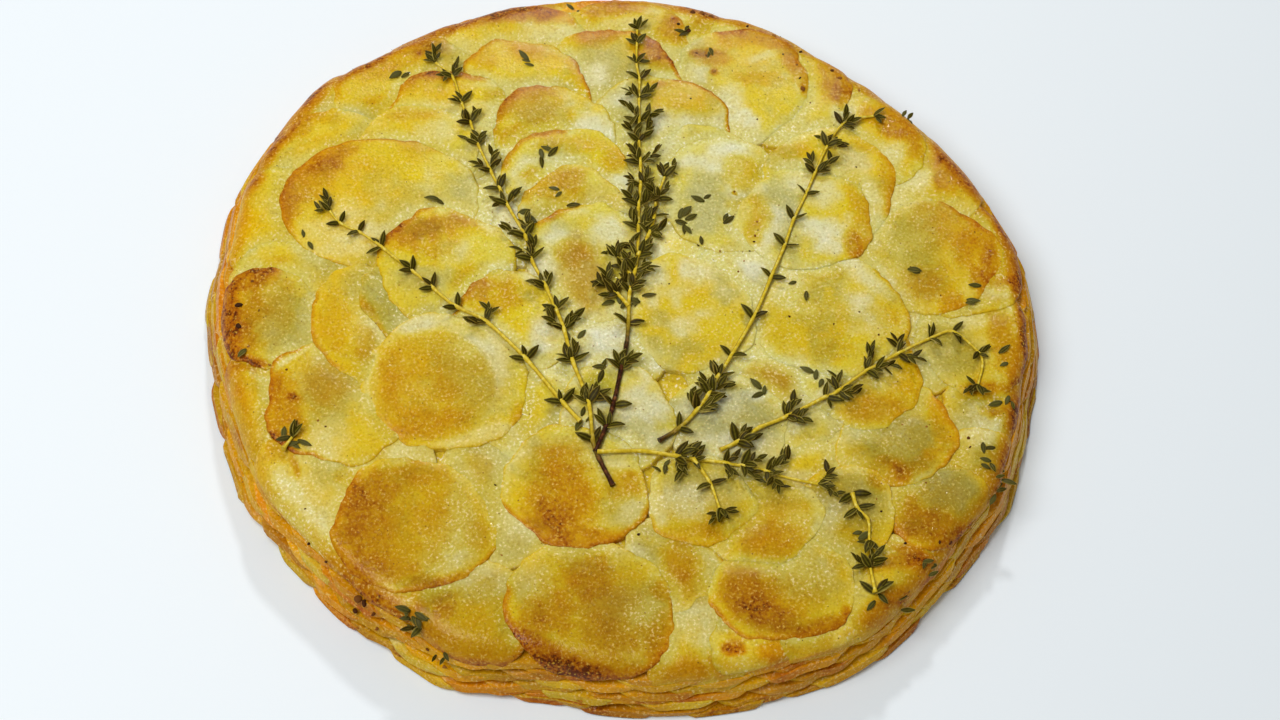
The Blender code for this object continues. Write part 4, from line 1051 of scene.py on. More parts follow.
def side_slice(layer, number, draw):
    """One slice of a layer, leaning on its neighbour and drawn back to the pan's wall."""
    mesh = side_blank.data.copy()
    flat = coordinates(mesh)
    angle = math.tau * (number + LAYER_TURN * layer + draw.uniform(-0.2, 0.2)) / SIDE_SLICES
    level = (layer + 0.5) * LAYER_HEIGHT
    inset = draw.uniform(0.0, SIDE_INSET) + (EVERY_THIRD if layer % 3 == 1 else 0.0)
    reach = float(wall_radius(np.array([angle]), level)[0]) - inset
    ahead = reach - SIDE_RADIUS + STANDS_OUT + flat[:, 0] * draw.uniform(0.94, 1.04)
    radius, turn = np.hypot(ahead, flat[:, 1]), np.arctan2(flat[:, 1], ahead)
    wrinkles = wander(turn * ANGLE_IN_MM, radius * ANGLE_IN_MM, WRINKLE_SIZE, number)
    height = level + flat[:, 2] + LEAN * flat[:, 1] + WRINKLE * wrinkles
    height = np.clip(height, BED + BED_STEP * number, LAYERS * LAYER_HEIGHT + TOP_OVERLAP)
    limit = wall_radius(angle + turn, height) - inset
    brown = SIDE_BROWNING * smooth((radius - limit) / BROWN_FADE + 1.2)
    uneven = 0.5 * wander(turn * ANGLE_IN_MM, radius * 0, BROWN_PATCH, number)
    brown *= 0.5 + cake_rim_browning(angle + turn) + uneven
    pushed = limit - PUSHED_IN * np.minimum(radius - limit, PUSHED_MOST)
    radius = np.where(radius > limit, pushed, radius)
    move_points(mesh, about_pan(radius, angle + turn, height))
    share = draw.random()
    colour = between(*draw.choice(SIDE_TINTS), share)
    colour *= draw.uniform(0.98, 1.18) * SIDE_WARMTH
    # The lowest layers are drawn browner towards the floor: partly browning, partly painted shade.
    low = FOOT_BROWNING_AND_SHADE * smooth(1 - height / FOOT_HEIGHT)
    store_potato(mesh, colour, np.clip(brown * draw.uniform(0.5, 1.3) + low, 0, 0.8), 0.3)
    return placed("side_slice", mesh)


# %% The layers of the side
dealt = random.Random(5)
side = [
    side_slice(layer, number, dealt) for layer in range(LAYERS) for number in range(SIDE_SLICES)
]
potato["slices_side"] = joined("slices_side", side)
print("the side has", len(potato["slices_side"].data.polygons), "faces")

# %% [markdown]
# ## The heart and the underside
# Inside the layers the potato is one moist body, seen only as pale flesh in the gaps between
# slices. It is a low cylinder shaped to the wall by the same function. Below it a floor of flat
# slices lies as the cook closed the pan: three rings, one inside the other, and a slice in the
# middle. Each rises a little towards its neighbour, so that no two share one flat plane.

# %% The heart
HEART_BLANK, HEART_RINGS = 0.1, (0.02, 0.04)  # the cylinder before it is shaped to the wall
HEART_INSET = 0.0030
HEART_BOTTOM, HEART_TOP = 0.0007, 0.0172
HEART_WALL = 0.0150  # up to here it follows the wall
HEART_SHOULDER = 0.0010  # how far its top reaches past the flat top

bpy.ops.object.select_all(action="DESELECT")
bpy.ops.mesh.primitive_cylinder_add(
    vertices=240, radius=HEART_BLANK, depth=1.0, end_fill_type="NGON"
)
heart = bpy.context.active_object
bpy.ops.object.mode_set(mode="EDIT")
bpy.ops.mesh.select_mode(type="FACE")
select_faces(heart, lambda face: abs(face.normal.z) > 0.9)
for thickness in HEART_RINGS:
    bpy.ops.mesh.inset(thickness=thickness)
bpy.ops.mesh.poke()
bpy.ops.object.mode_set(mode="OBJECT")
flat = coordinates(heart.data)
angle, share = np.arctan2(flat[:, 1], flat[:, 0]), np.hypot(flat[:, 0], flat[:, 1]) / HEART_BLANK
upper = flat[:, 2] > 0
height = np.where(upper, HEART_TOP, HEART_BOTTOM)
radius = share * (wall_radius(angle, np.minimum(height, HEART_WALL)) - HEART_INSET)
shoulder = share * (shoulder_start(angle) + HEART_SHOULDER)
radius = np.where(upper, np.minimum(radius, shoulder), radius)
move_points(heart.data, about_pan(radius, angle, height))
store_potato(heart.data, tint("straw"), 0.15, 1.0)
heart.name = "potato_heart"
potato["potato_heart"] = heart
print("the heart reaches", round(HEART_TOP / MM, 1), "mm high")

# %% The underside
UNDER_RINGS = ((0.1000, 21), (0.0660, 14), (0.0320, 7), (0.0, 1))  # radius and number of slices
UNDER_INSET = 0.0012
UNDER_LEAN = 0.0005
UNDER_PRESSED = 0.9  # of a side slice's thickness
UNDER_SIZES, UNDER_WIDTHS = (0.98, 1.12), (0.95, 1.03)  # of a side slice's
UNDER_BROWNING, UNDER_RIM = (0.15, 0.45), 0.25


def under_slice(ring_radius, turn, draw):
    """A flat slice of the floor, its low side on what it lies on and the other on the next."""
    mesh = side_blank.data.copy()
    flat = coordinates(mesh)
    size = draw.uniform(*UNDER_SIZES)
    x = ring_radius * math.cos(turn) + flat[:, 0] * size
    y = ring_radius * math.sin(turn) + flat[:, 1] * size * draw.uniform(*UNDER_WIDTHS)
    angle, radius = np.arctan2(y, x), np.hypot(x, y)
    radius = np.minimum(radius, base_radius(angle) - UNDER_INSET)
    lean = (flat[:, 0] * -math.sin(turn) + flat[:, 1] * math.cos(turn)) / SIDE_RADIUS
    thickness = (flat[:, 2] - flat[:, 2].min()) * UNDER_PRESSED
    height = UNDER_LEAN + UNDER_LEAN * lean + thickness
    move_points(mesh, about_pan(radius, angle, np.maximum(height, 0.0)))
    colour = between("straw", "amber", draw.random())
    edge = np.hypot(flat[:, 0], flat[:, 1]) / SIDE_RADIUS
    brown = draw.uniform(*UNDER_BROWNING) + UNDER_RIM * smooth((edge - 0.9) / 0.1)
    store_potato(mesh, colour, np.clip(brown, 0, 0.9), 0.3)
    return placed("under_slice", mesh)


under = [
    under_slice(ring_radius, math.tau * k / count + ring_radius * 9, dealt)
    for ring_radius, count in UNDER_RINGS for k in range(count)
]
potato["slices_under"] = joined("slices_under", under)
bpy.data.objects.remove(side_blank)
print(len(under), "slices lie underneath")

# %% [markdown]
# ## The height of the top
# Leaves and specks lie on the slices, so they need the height of the surface where they fall. The
# uppermost slice over a spot decides it. The function below looks through the slices from the
# lowest to the highest and keeps the last one that covers the spot.

# %% Where a thing comes to rest
def resting(x, y):
    """Points on the top's surface for places of the layout, in mm."""
    x, y = np.asarray(x, float) * MM + LAYOUT_SHIFT[0], np.asarray(y, float) * MM + LAYOUT_SHIFT[1]
    depth = np.full_like(x, DIP_LIMIT)
    for piece in slices:
        covers = piece.edge_share(x, y) < 1
        if covers.any():
            here = dip(x, y, slices[piece.index + 1:]) + pressed_in(piece, x, y)
            depth = np.where(covers, here, depth)
    return on_pan(x, y, depth)


print("the middle rests at", round(float(resting([0.0], [0.0])[0, 2]) / MM, 2), "mm")

# %% [markdown]
# ## Thyme leaves
# A thyme leaf is about five millimetres long, oval with a point, folded a little along its middle
# and rolled under at its margins. One grid is shaped into it and given a thickness, in three
# versions. It keeps how far along and how far from the middle each point is, so that the finish can
# draw a paler midrib and margin.

# %% The leaf
LEAF_LENGTH, LEAF_WIDTH, LEAF_THICKNESS = 0.0056, 0.0025, 0.00020


def leaf_blank(name, arch, twist, fullness):
    bpy.ops.object.select_all(action="DESELECT")
    bpy.ops.mesh.primitive_grid_add(x_subdivisions=5, y_subdivisions=4, size=2.0)
    leaf = bpy.context.active_object
    leaf.name = name
    flat = coordinates(leaf.data)
    along, across = (flat[:, 0] + 1) / 2, flat[:, 1]
    half = 0.5 * LEAF_WIDTH * fullness * np.sin(np.pi * np.clip(along, 0.04, 0.985) ** 0.82) ** 0.8
    x = LEAF_LENGTH * along
    y = half * across
    # the margins roll down, the two halves rise, and the midrib lies in the fold between them
    fold = np.where(np.abs(across) > 0.7, -0.10, np.where(np.abs(across) > 0.2, 0.10, -0.06)) * MM
    z = fold * np.sin(np.pi * along) + arch * MM * np.sin(np.pi * along * 0.9)
    z += twist * y * along
    move_points(leaf.data, np.stack([x, y, z], axis=1))
    store(leaf.data, "along", "FLOAT", along)
    store(leaf.data, "across", "FLOAT", np.abs(across))
    select_only(leaf)
    bpy.ops.object.modifier_add(type="SOLIDIFY")
    leaf.modifiers[0].thickness = LEAF_THICKNESS
    leaf.modifiers[0].offset = 0
    bpy.ops.object.modifier_apply(modifier=leaf.modifiers[0].name)
    leaf.data.shade_smooth()
    return leaf


leaf_blanks = [
    leaf_blank("leaf_arched", 0.35, 0.10, 1.0),
    leaf_blank("leaf_flat", 0.10, -0.20, 0.9),
    leaf_blank("leaf_curled", 0.70, 0.25, 1.05),
]
print("a leaf has", len(leaf_blanks[0].data.polygons), "faces")

# %% Setting a leaf
LOWEST_LEAF, HIGHEST_LEAF = 0.00008, 0.00395  # above the flat top
PRESSED_LEAF = 0.15  # what would dip into the potato keeps this much of its shape


def set_leaf(root, heading, lift, roll, size, draw, floor=None, sunk=0.0):
    """A copy of one of the leaves, turned and lifted at its root, kept off the potato."""
    mesh = draw.choice(leaf_blanks).data.copy()
    turn = Matrix.Rotation(heading, 4, "Z") @ Matrix.Rotation(-lift, 4, "Y")
    turn = turn @ Matrix.Rotation(roll, 4, "X")
    mesh.transform(Matrix.Translation(root) @ turn @ Matrix.Scale(size, 4))
    spots = coordinates(mesh)
    floor = CAKE_HEIGHT + LOWEST_LEAF if floor is None else floor
    spots[:, 2] = np.maximum(spots[:, 2], floor + PRESSED_LEAF * (spots[:, 2] - floor))
    spots[:, 2] = np.clip(spots[:, 2], floor, CAKE_HEIGHT + HIGHEST_LEAF)
    move_points(mesh, spots)
    store_number(mesh, "age", draw.random())
    store_number(mesh, "sunk", sunk)
    mesh.update()
    return placed("leaf", mesh)


# %% [markdown]
# ## The sprigs
# Seven sprigs fan out from the front. Each stem is listed joint by joint, in the layout's
# millimetres, with the number of leaves at the joint. A stem is a curve, thick at its foot and
# swollen a little at each joint. A joint has its own pair of leaves, and a full one also two short
# shoots with younger leaves. The oldest stems are woody at their foot.

# %% Stems and leaves, joint by joint
SPRIGS = {
    "thyme_sprig_bunch": (
        (
            (-6.5, -56, 0), (-10, -47, 0), (-11.5, -41, 2), (-12, -29, 6), (-16, -15, 5),
            (-18, -4, 7), (-20, 2.5, 4), (-22.5, 10, 5), (-26.5, 20, 6), (-28, 28, 8),
            (-33, 39.5, 5), (-35, 45, 4), (-37.5, 51.5, 6), (-41, 61, 5), (-43, 69, 5),
            (-45.5, 76.5, 4), (-48, 86, 5), (-53, 91.5, 5),
        ),
        (
            (-11, -45, 0), (-7.5, -37, 4), (-5, -30, 2), (-2, -18, 6), (0, -10, 0), (1, -3, 4),
            (2, 8, 8), (4, 15, 7), (5, 20, 8), (6, 30, 8), (6.5, 38, 6), (7.5, 45, 6), (8, 53, 8),
            (8, 61, 8), (8.5, 68, 9), (9, 77, 6), (9.5, 84, 3), (9, 90, 4), (9.5, 97, 4),
            (10, 102.5, 4),
        ),
        ((5, 20, 0), (9, 28, 5), (11, 34, 2), (12, 40, 5), (15, 48, 5)),
        (
            (-10.5, -45, 0), (3, -45, 0), (12, -47, 8), (17, -48, 4), (26, -49.5, 5),
            (31, -50.5, 7), (38, -52.5, 9), (46, -55.5, 0), (52.5, -57, 8),
        ),
        ((17, -48, 0), (21.5, -56, 2), (23.5, -64, 5)),
        ((1.5, 3, 0), (-1.5, 7.5, 5), (-4.5, 10.5, 5)), ((4, 12, 0), (1, 16.5, 4), (-1, 20, 5)),
    ),
    "thyme_sprig_left": (
        (
            (-14.8, -35, 0), (-19.5, -28.5, 4), (-29.5, -14, 3), (-40.5, -1, 6), (-49, 4, 2),
            (-56, 11, 3), (-62, 17, 3), (-71, 25.5, 3), (-77.5, 31, 2), (-83, 34, 2),
            (-86, 38.5, 5),
        ),
    ),
    "thyme_sprig_right": (
        (
            (7.5, -42, 0), (13.5, -38, 2), (19, -32.5, 7), (23, -27, 7), (26, -21.5, 4),
            (30.5, -14.5, 2), (38, -2, 2), (44.5, 12, 2), (49.5, 23, 2), (53, 32, 2),
            (57.5, 41, 2), (61, 48.5, 7), (65.5, 58, 5), (71, 66, 5), (76, 68, 0), (81, 69, 3),
        ),
    ),
    "thyme_sprig_far_right": (
        (
            (25, -45.5, 0), (30, -43, 5), (37, -38.5, 0), (45, -35, 7), (57, -29, 3),
            (61, -27, 6), (70, -20.5, 9), (80, -15, 6), (90, -10, 4), (97, -8, 3), (104, -15, 4),
            (104.5, -20, 0), (102.5, -26, 5),
        ),
    ),
    "thyme_sprig_front": (((62, -60.5, 2), (63, -65, 3), (65.8, -69, 0), (65.5, -75.5, 4)),),
    "thyme_tip_front": (((65.5, -92, 3), (65, -84, 6)),),
    "thyme_tip_left": (((-100, -41.5, 0), (-97.5, -37.5, 4)),),
}
print(sum(joint[2] for stems in SPRIGS.values() for joints in stems for joint in joints), "leaves")

# %% A stem
STEM_RADIUS, TIP_RADIUS = 0.00072, 0.00040
JOINT_SWELL = 0.22
STEM_SWAY, SWAY_PACE = 0.00022, 0.9  # how far a stem lifts and dips, and radians from step to step
STEM_CLEARANCE = 0.0001
BARK_FADE = 18  # mm, from the bark to the soft stem


def stem_path(joints):
    """Points along a stem that bends softly from joint to joint, and how near a joint each is."""
    marks = [Vector((x * MM, y * MM, 0)) for x, y, _ in joints]
    marks = [2 * marks[0] - marks[1], *marks, 2 * marks[-1] - marks[-2]]
    path, nearness = [], []
    for k in range(1, len(marks) - 2):
        before, here, there, beyond = marks[k - 1:k + 3]
        for step in range(4):
            t = step / 4
            bend = 2 * here + (there - before) * t
            bend += (2 * before - 5 * here + 4 * there - beyond) * t * t
            bend += (3 * here - before - 3 * there + beyond) * t ** 3
            path.append(bend / 2)
            nearness.append(1.0 if step == 0 else 0.0)
    return path + [marks[-2]], nearness + [1.0]


def stem(joints, woody, draw):
    """A round stem lying on the cake, thinning to its tip."""
    path, nearness = stem_path(joints)
    curve = bpy.data.curves.new("stem", "CURVE")
    curve.dimensions = "3D"
    curve.bevel_depth = 1.0
    curve.bevel_resolution = 1
    curve.use_fill_caps = True
    line = curve.splines.new("POLY")
    line.points.add(len(path) - 1)
    for k, (spot, near) in enumerate(zip(path, nearness)):
        share = k / (len(path) - 1)
        radius = (STEM_RADIUS + (TIP_RADIUS - STEM_RADIUS) * share) * (1 + JOINT_SWELL * near)
        sway = STEM_SWAY * math.sin(k * SWAY_PACE + draw.random()) + STEM_CLEARANCE
        x, y = spot.x + LAYOUT_SHIFT[0] + PAN_SHIFT[0], spot.y + LAYOUT_SHIFT[1] + PAN_SHIFT[1]
        line.points[k].co = (x, y, CAKE_HEIGHT + radius + sway, 1)
        line.points[k].radius = radius
    select_only(placed("stem", curve))
    bpy.ops.object.convert(target="MESH")
    made = bpy.context.active_object
    made.data.shade_smooth()
    spots = coordinates(made.data)
    foot = np.array([path[0].x, path[0].y]) + LAYOUT_SHIFT + PAN_SHIFT
    away = np.hypot(spots[:, 0] - foot[0], spots[:, 1] - foot[1]) / MM
    store_number(made.data, "woody", smooth((woody - away) / BARK_FADE + 0.5) if woody else 0.0)
    return made


# %% Growing a sprig
ROOT_HEIGHT = 0.0008  # above the flat top
PAIR_ANGLE, TIP_ANGLE, SHOOT_ANGLE = (38, 82), (10, 40), (22, 62)  # degrees away from the stem
FIRST_PAIR_LIFT, SHOOT_LIFT = (0.05, 0.40), (0.08, 0.60)  # radians
PAIR_SIZES, SHOOT_SIZES = (0.85, 1.15), (0.60, 0.95)
SHOOT_STEP, SHOOT_RISE = 0.0009, 0.15  # from leaf to leaf along a shoot, and how it climbs
SHOOT_SPREAD = 1.25  # radians, how far a shoot's leaves spread
FULL_JOINT, TUFT_FULLNESS = 4, 1.8  # a joint with more leaves than this is fuller still
SMALLER_AT_TIP = 0.25
# How far from its foot each stem is woody, in mm. The rest stays soft and golden.
WOODY_LENGTH = {
    ("thyme_sprig_bunch", 0): 16, ("thyme_sprig_bunch", 1): 44, ("thyme_sprig_right", 0): 8,
}


def grow(name, stems):
    """A sprig's leaves and its stems."""
    draw = random.Random(name)
    leaves, stem_pieces = [], []
    for number, joints in enumerate(stems):
        stem_pieces.append(stem(joints, WOODY_LENGTH.get((name, number), 0), draw))
        for k, (x, y, count) in enumerate(joints):
            before, after = joints[max(k - 1, 0)], joints[min(k + 1, len(joints) - 1)]
            bearing = math.atan2(after[1] - before[1], after[0] - before[0])
            at_tip = k == len(joints) - 1
            spot = Vector((
                x * MM + LAYOUT_SHIFT[0] + PAN_SHIFT[0], y * MM + LAYOUT_SHIFT[1] + PAN_SHIFT[1],
                CAKE_HEIGHT + ROOT_HEIGHT,
            ))
            smaller = 1 - SMALLER_AT_TIP * k / len(joints)
            shoots = {}
            for hand in (-1, 1):
                aside = hand * math.radians(draw.uniform(*SHOOT_ANGLE))
                shoots[hand] = bearing + aside, draw.uniform(0.7, 1.15)
            for leaf in range(round(TUFT_FULLNESS * count) if count > FULL_JOINT else count):
                hand = 1 if leaf % 2 else -1
                if leaf < 2:
                    spread = math.radians(draw.uniform(*(TIP_ANGLE if at_tip else PAIR_ANGLE)))
                    size = draw.uniform(*PAIR_SIZES) * smaller
                    heading, root = bearing + hand * spread, spot
                    lift = draw.uniform(*FIRST_PAIR_LIFT)
                else:
                    shoot, reach = shoots[hand]
                    heading = shoot + draw.uniform(-SHOOT_SPREAD, SHOOT_SPREAD)
                    along = Vector((math.cos(shoot), math.sin(shoot), SHOOT_RISE))
                    root = spot + SHOOT_STEP * reach * (leaf // 2) * along
                    size, lift = draw.uniform(*SHOOT_SIZES) * smaller, draw.uniform(*SHOOT_LIFT)
                roll = draw.uniform(-0.6, 0.6)
                leaves.append(set_leaf(root, heading, lift, roll, size, draw))
    return joined(f"{name}_leaves", leaves), joined(f"{name}_stems", stem_pieces)


green = {name: grow(name, stems) for name, stems in SPRIGS.items()}
print({name: [len(piece.data.polygons) for piece in pair] for name, pair in green.items()})

# %% [markdown]
# ## Loose leaves
# Some leaves came off in the pan and were baked into the top, and others fell on it at the end.
# Each row is a place in the layout, the number of leaves and how far they lie apart, all in
# millimetres. How deep a leaf is sunk in the potato is kept for its finish, which pales it.

# %% Leaves that came off
LOOSE = (
    (-94, 29, 2, 2.5), (-65, 88, 2, 2), (-25, 90, 3, 2.5), (-19, 57, 5, 3.5), (-15, 42, 3, 3),
    (-55, 41, 2, 2), (-29, 37, 2, 1.5), (19, 33, 7, 2), (23, 25, 2, 2), (32, 32, 2, 1.5),
    (25, 40, 2, 2), (33, 95, 2, 1), (26, 103.5, 3, 1.5), (53, 9, 2, 2), (86, 15, 2, 1.5),
    (105, 5, 3, 3), (111, -17, 2, 2), (111, -32, 4, 3), (103, -48, 5, 4), (107, -55, 4, 3),
    (107, -60, 3, 2), (55, -21, 3, 2.5), (92, 68, 4, 2), (83, -84, 4, 3), (78, -92, 3, 2.5),
    (75, -95, 2, 2), (66, -93, 2, 2), (-98, -38, 6, 2.5), (-65, -93, 8, 1.8), (-64, -97, 6, 1.8),
    (-60, -108, 3, 3), (-8, 116, 2, 2), (-110, -7, 1, 1), (62, -73, 2, 2), (-38, -116, 2, 2),
    (5.5, 6, 4, 1.6), (-2, 4, 3, 1.6), (-15, -7, 3, 1.5), (-7, -17, 3, 1.2), (-13, -33, 3, 1.5),
    (39, -26, 3, 1.5), (9, -50, 3, 1.6),
)
LOOSE_SIZES = (0.45, 0.85)
LOOSE_ROOT, LOOSE_FLOOR = 0.0001, 0.00002  # above the slice


def loose_leaves():
    draw = random.Random(77)
    leaves = []
    for x, y, count, apart in LOOSE:
        for _ in range(count):
            at = resting([x + draw.uniform(-apart, apart)], [y + draw.uniform(-apart, apart)])[0]
            root = Vector(at) + Vector((0, 0, LOOSE_ROOT))
            size = draw.uniform(*LOOSE_SIZES)
            heading = draw.uniform(0, math.tau)
            lift, roll = draw.uniform(-0.05, 0.15), draw.uniform(-0.3, 0.3)
            sunk = draw.uniform(0.0, 0.8)
            floor = at[2] + LOOSE_FLOOR
            leaves.append(set_leaf(root, heading, lift, roll, size, draw, floor, sunk))
    return joined("thyme_loose_leaves", leaves)


fallen = loose_leaves()
for leaf in leaf_blanks:
    bpy.data.objects.remove(leaf)
print("loose leaves have", len(fallen.data.polygons), "faces")

# %% [markdown]
# ## Specks and crumbs
# Ground pepper, scorched bits of potato skin and crumbs from the pan stick to the top. The larger
# ones are listed one by one with their size, and fine pepper is strewn by chance. Each is a small
# ball, made uneven and pressed flat, sunk to a third in the slice.

# %% The crumb
CRUMBS = (
    (-113, 7, 2.4), (-113, 0, 1.8), (-82, -88, 2.6), (-80, -89.5, 2.2), (-78, -93, 2.0),
    (-26, -113, 1.6), (0, -71, 1.1), (36, 43, 0.7), (42, 32, 0.8), (41, 27, 1.0), (42, 29, 0.6),
    (40.5, 25, 0.8), (39, 22, 0.7), (37, 18.5, 0.6), (35, 15, 0.7), (30, 22, 0.7), (14, 11, 0.6),
    (49, -1, 0.8), (62, -4, 0.7), (70, 0, 0.6), (75, -8, 0.7), (87, 15, 0.8), (95, 5, 0.8),
    (86, -39, 0.8), (79, -38, 0.7), (98, -43, 1.1), (98, -46, 0.9), (84, -57, 0.8), (69, -62, 0.7),
    (70, -66, 0.8), (90, -76, 1.4), (86, -76, 1.2), (76, -76, 1.0), (97, -71, 0.9), (79, -97, 1.3),
    (74, 51, 0.6), (45, 69, 0.6), (62, 75, 0.7), (60, 80, 0.8), (55, 93, 0.7), (59, 89, 0.7),
    (25, 77, 0.6), (16, 92, 0.9), (10, 92, 0.8), (-107, 5, 0.8), (-109, 15, 1.0), (-104, -13, 1.1),
    (-97, -24, 1.2), (-99, -15, 0.9), (-90, -32, 0.8), (-88, -34, 0.7), (-94, -60, 0.8),
    (-90, -76, 1.0), (-95, -70, 1.0), (-63, -105, 1.1), (-59, -111, 1.1), (-38, -115, 1.1),
    (-85, -92, 1.6), (-88, -88, 1.2), (-79, -98, 1.0), (28, 110, 1.6), (31, 110, 1.8),
    (34, 109, 1.5), (23, 105, 1.3), (26, 103, 1.8), (45, 105, 1.2), (53, 101, 1.3), (61, 95, 1.1),
    (70, 87, 1.2), (72, 84, 1.4), (78, 80, 1.2), (60, 80, 1.6), (59.5, 84, 1.0), (33, 87, 1.2),
    (31, 93, 1.0), (28, 94, 1.0), (-40, -54, 0.7), (-39, -76, 0.7), (-110, -7, 0.9),
)

bpy.ops.object.select_all(action="DESELECT")
bpy.ops.mesh.primitive_ico_sphere_add(subdivisions=2, radius=0.5)
crumb_blank = bpy.context.active_object
bpy.ops.object.select_all(action="DESELECT")
bpy.ops.mesh.primitive_ico_sphere_add(subdivisions=1, radius=0.5)
grain_blank = bpy.context.active_object
print("a crumb has", len(crumb_blank.data.polygons), "faces")


# %% Strewing
CRUMB_LUMPS, LUMP_SIZE = 0.35, 0.35  # how lumpy a crumb is, and how large its lumps are
CRUMB_SUNK = 0.05  # how far above the slice its middle lies, for each mm of its size
PEPPER, PEPPER_SIZES = 420, (0.18, 0.42)  # how many grains, and their sizes in mm
PEPPER_REACH, PEPPER_RIM = 118, (98, 121)  # mm from the middle, all over and near the rim
PEPPER_ALL_OVER = 0.6  # the share of the grains that lies all over


def strewn(source, at, size, draw):
    """A copy of a crumb or grain, uneven, flat and turned, sunk a third into the surface."""
    mesh = source.data.copy()
    spots = coordinates(mesh)
    u, v = spots[:, 0] + at[0] * 900, spots[:, 1] + spots[:, 2] + at[1] * 700  # each its own lumps
    lumpy = 1 + CRUMB_LUMPS * wander(u, v, LUMP_SIZE, 4)
    spots = spots * lumpy[:, None] * np.array([1.0, draw.uniform(0.5, 1.0), draw.uniform(0.3, 0.6)])
    turn = draw.uniform(0, math.tau)
    cos, sin = math.cos(turn), math.sin(turn)
    x, y = spots[:, 0] * cos - spots[:, 1] * sin, spots[:, 0] * sin + spots[:, 1] * cos
    spots = size * MM * np.stack([x, y, spots[:, 2]], axis=1)
    move_points(mesh, spots + at + np.array([0, 0, CRUMB_SUNK * size * MM]))
    store_number(mesh, "scorch", draw.random())
    mesh.update()
    return placed("crumb", mesh)


def pepper_reach(draw):
    """How far from the middle a grain fell."""
    if draw.random() < PEPPER_ALL_OVER:
        return PEPPER_REACH * math.sqrt(draw.random())
    return draw.uniform(*PEPPER_RIM)


draw = random.Random(404)
crumb_spots = resting([row[0] for row in CRUMBS], [row[1] for row in CRUMBS])
crumbs = [strewn(crumb_blank, at, row[2], draw) for at, row in zip(crumb_spots, CRUMBS)]
reach = [pepper_reach(draw) for _ in range(PEPPER)]
around = [draw.uniform(0, math.tau) for _ in range(PEPPER)]
pepper_spots = resting(
    [r * math.cos(a) for r, a in zip(reach, around)],
    [r * math.sin(a) for r, a in zip(reach, around)],
)
crumbs += [strewn(grain_blank, at, draw.uniform(*PEPPER_SIZES), draw) for at in pepper_spots]
specks = joined("pepper_and_crumbs", crumbs)
for source in (crumb_blank, grain_blank):
    bpy.data.objects.remove(source)
print(len(crumbs), "specks and crumbs")

# %% [markdown]
# ## One function for nodes
# A material is a few nodes linked up. The function below adds one node, gives it its settings and
# links its inputs, and everything that follows reads like a recipe.

# %% Adding a node
def node(tree, kind, settings=None, links=None, out=0):
    """Adds a node and returns one of its outputs, the first if no other is named.

    Settings are its options or the values of its inputs, and links are its sources.
    """
    made = tree.nodes.new("ShaderNode" + kind)
    for name, value in (settings or {}).items():
        if name == "stops":
            ramp = made.color_ramp
            while len(ramp.elements) < len(value):
                ramp.elements.new(0.5)
            for element, (position, colour) in zip(ramp.elements, value):
                element.position, element.color = position, colour
        elif isinstance(name, str) and hasattr(made, name):
            setattr(made, name, value)
        else:
            made.inputs[name].default_value = value
    for name, source in (links or {}).items():
        tree.links.new(source, made.inputs[name])
    return made.outputs[out] if made.outputs else made


# Two ways to put one colour on another: paint that covers, and glaze that lets it shine through.
COVERING = {"data_type": "RGBA"}
GLAZING = {"data_type": "RGBA", "blend_type": "MULTIPLY"}


def fresh_material(name):
    made = bpy.data.materials.new(name)
    made.use_nodes = True
    made.node_tree.nodes.clear()
    return made, made.node_tree


def shade(hex_colour):
    return (*linear(hex_colour), 1.0)


def per_metre(millimetres):
    """The scale of a pattern whose features are about this large."""
    return 1000.0 / millimetres


# %% [markdown]
# ## Baked potato
# The real surface is boiled starch under a film of butter: translucent, moist and slightly grainy,
# with a browned skin where it fried. The mesh carries the mixed flesh colour, the browning and the
# pooled starch. The material breaks the browning up into a toasted mottle, and turns it through
# gold and amber to dark brown as a glaze over the flesh. It strews pale grains between, partly
# starch and partly painted glints: white where starch has pooled and golden where it is fried.
# Light goes a little way in, a thin coat stands for the butter, and bumps give the grain that
# glitters.

# %% What the potato's finish reads
TOAST_MOTTLE = 3.0  # mm, the blotches of the browning
TOAST_GRAIN = 1.0  # mm, coarser than the real half millimetre so that it shows
STARCH_GRAIN = 0.8  # mm, also drawn coarser than it is
SPECK_SPACING = 3.6  # mm, between the scorched specks
TONE_PATCH = 9.0  # mm, how far apart yellow and pale places of one slice lie
GLAZE = [
    (0.00, "#FFFFFF"), (0.18, "#F6EA88"), (0.38, "#EAD04C"), (0.56, "#DEBA1C"), (0.74, "#CE9E0C"),
    (0.90, "#B27408"), (1.00, "#74420A"),
]

baked_potato, tree = fresh_material("baked_potato_buttered")
place = node(tree, "TexCoord", out="Object")
flesh = node(tree, "Attribute", {"attribute_name": "flesh"})
browning = node(tree, "Attribute", {"attribute_name": "browning"}, out="Fac")
pooled = node(tree, "Attribute", {"attribute_name": "pooled"}, out="Fac")
print("the mottle is", TOAST_MOTTLE, "mm and the grain", TOAST_GRAIN, "mm")

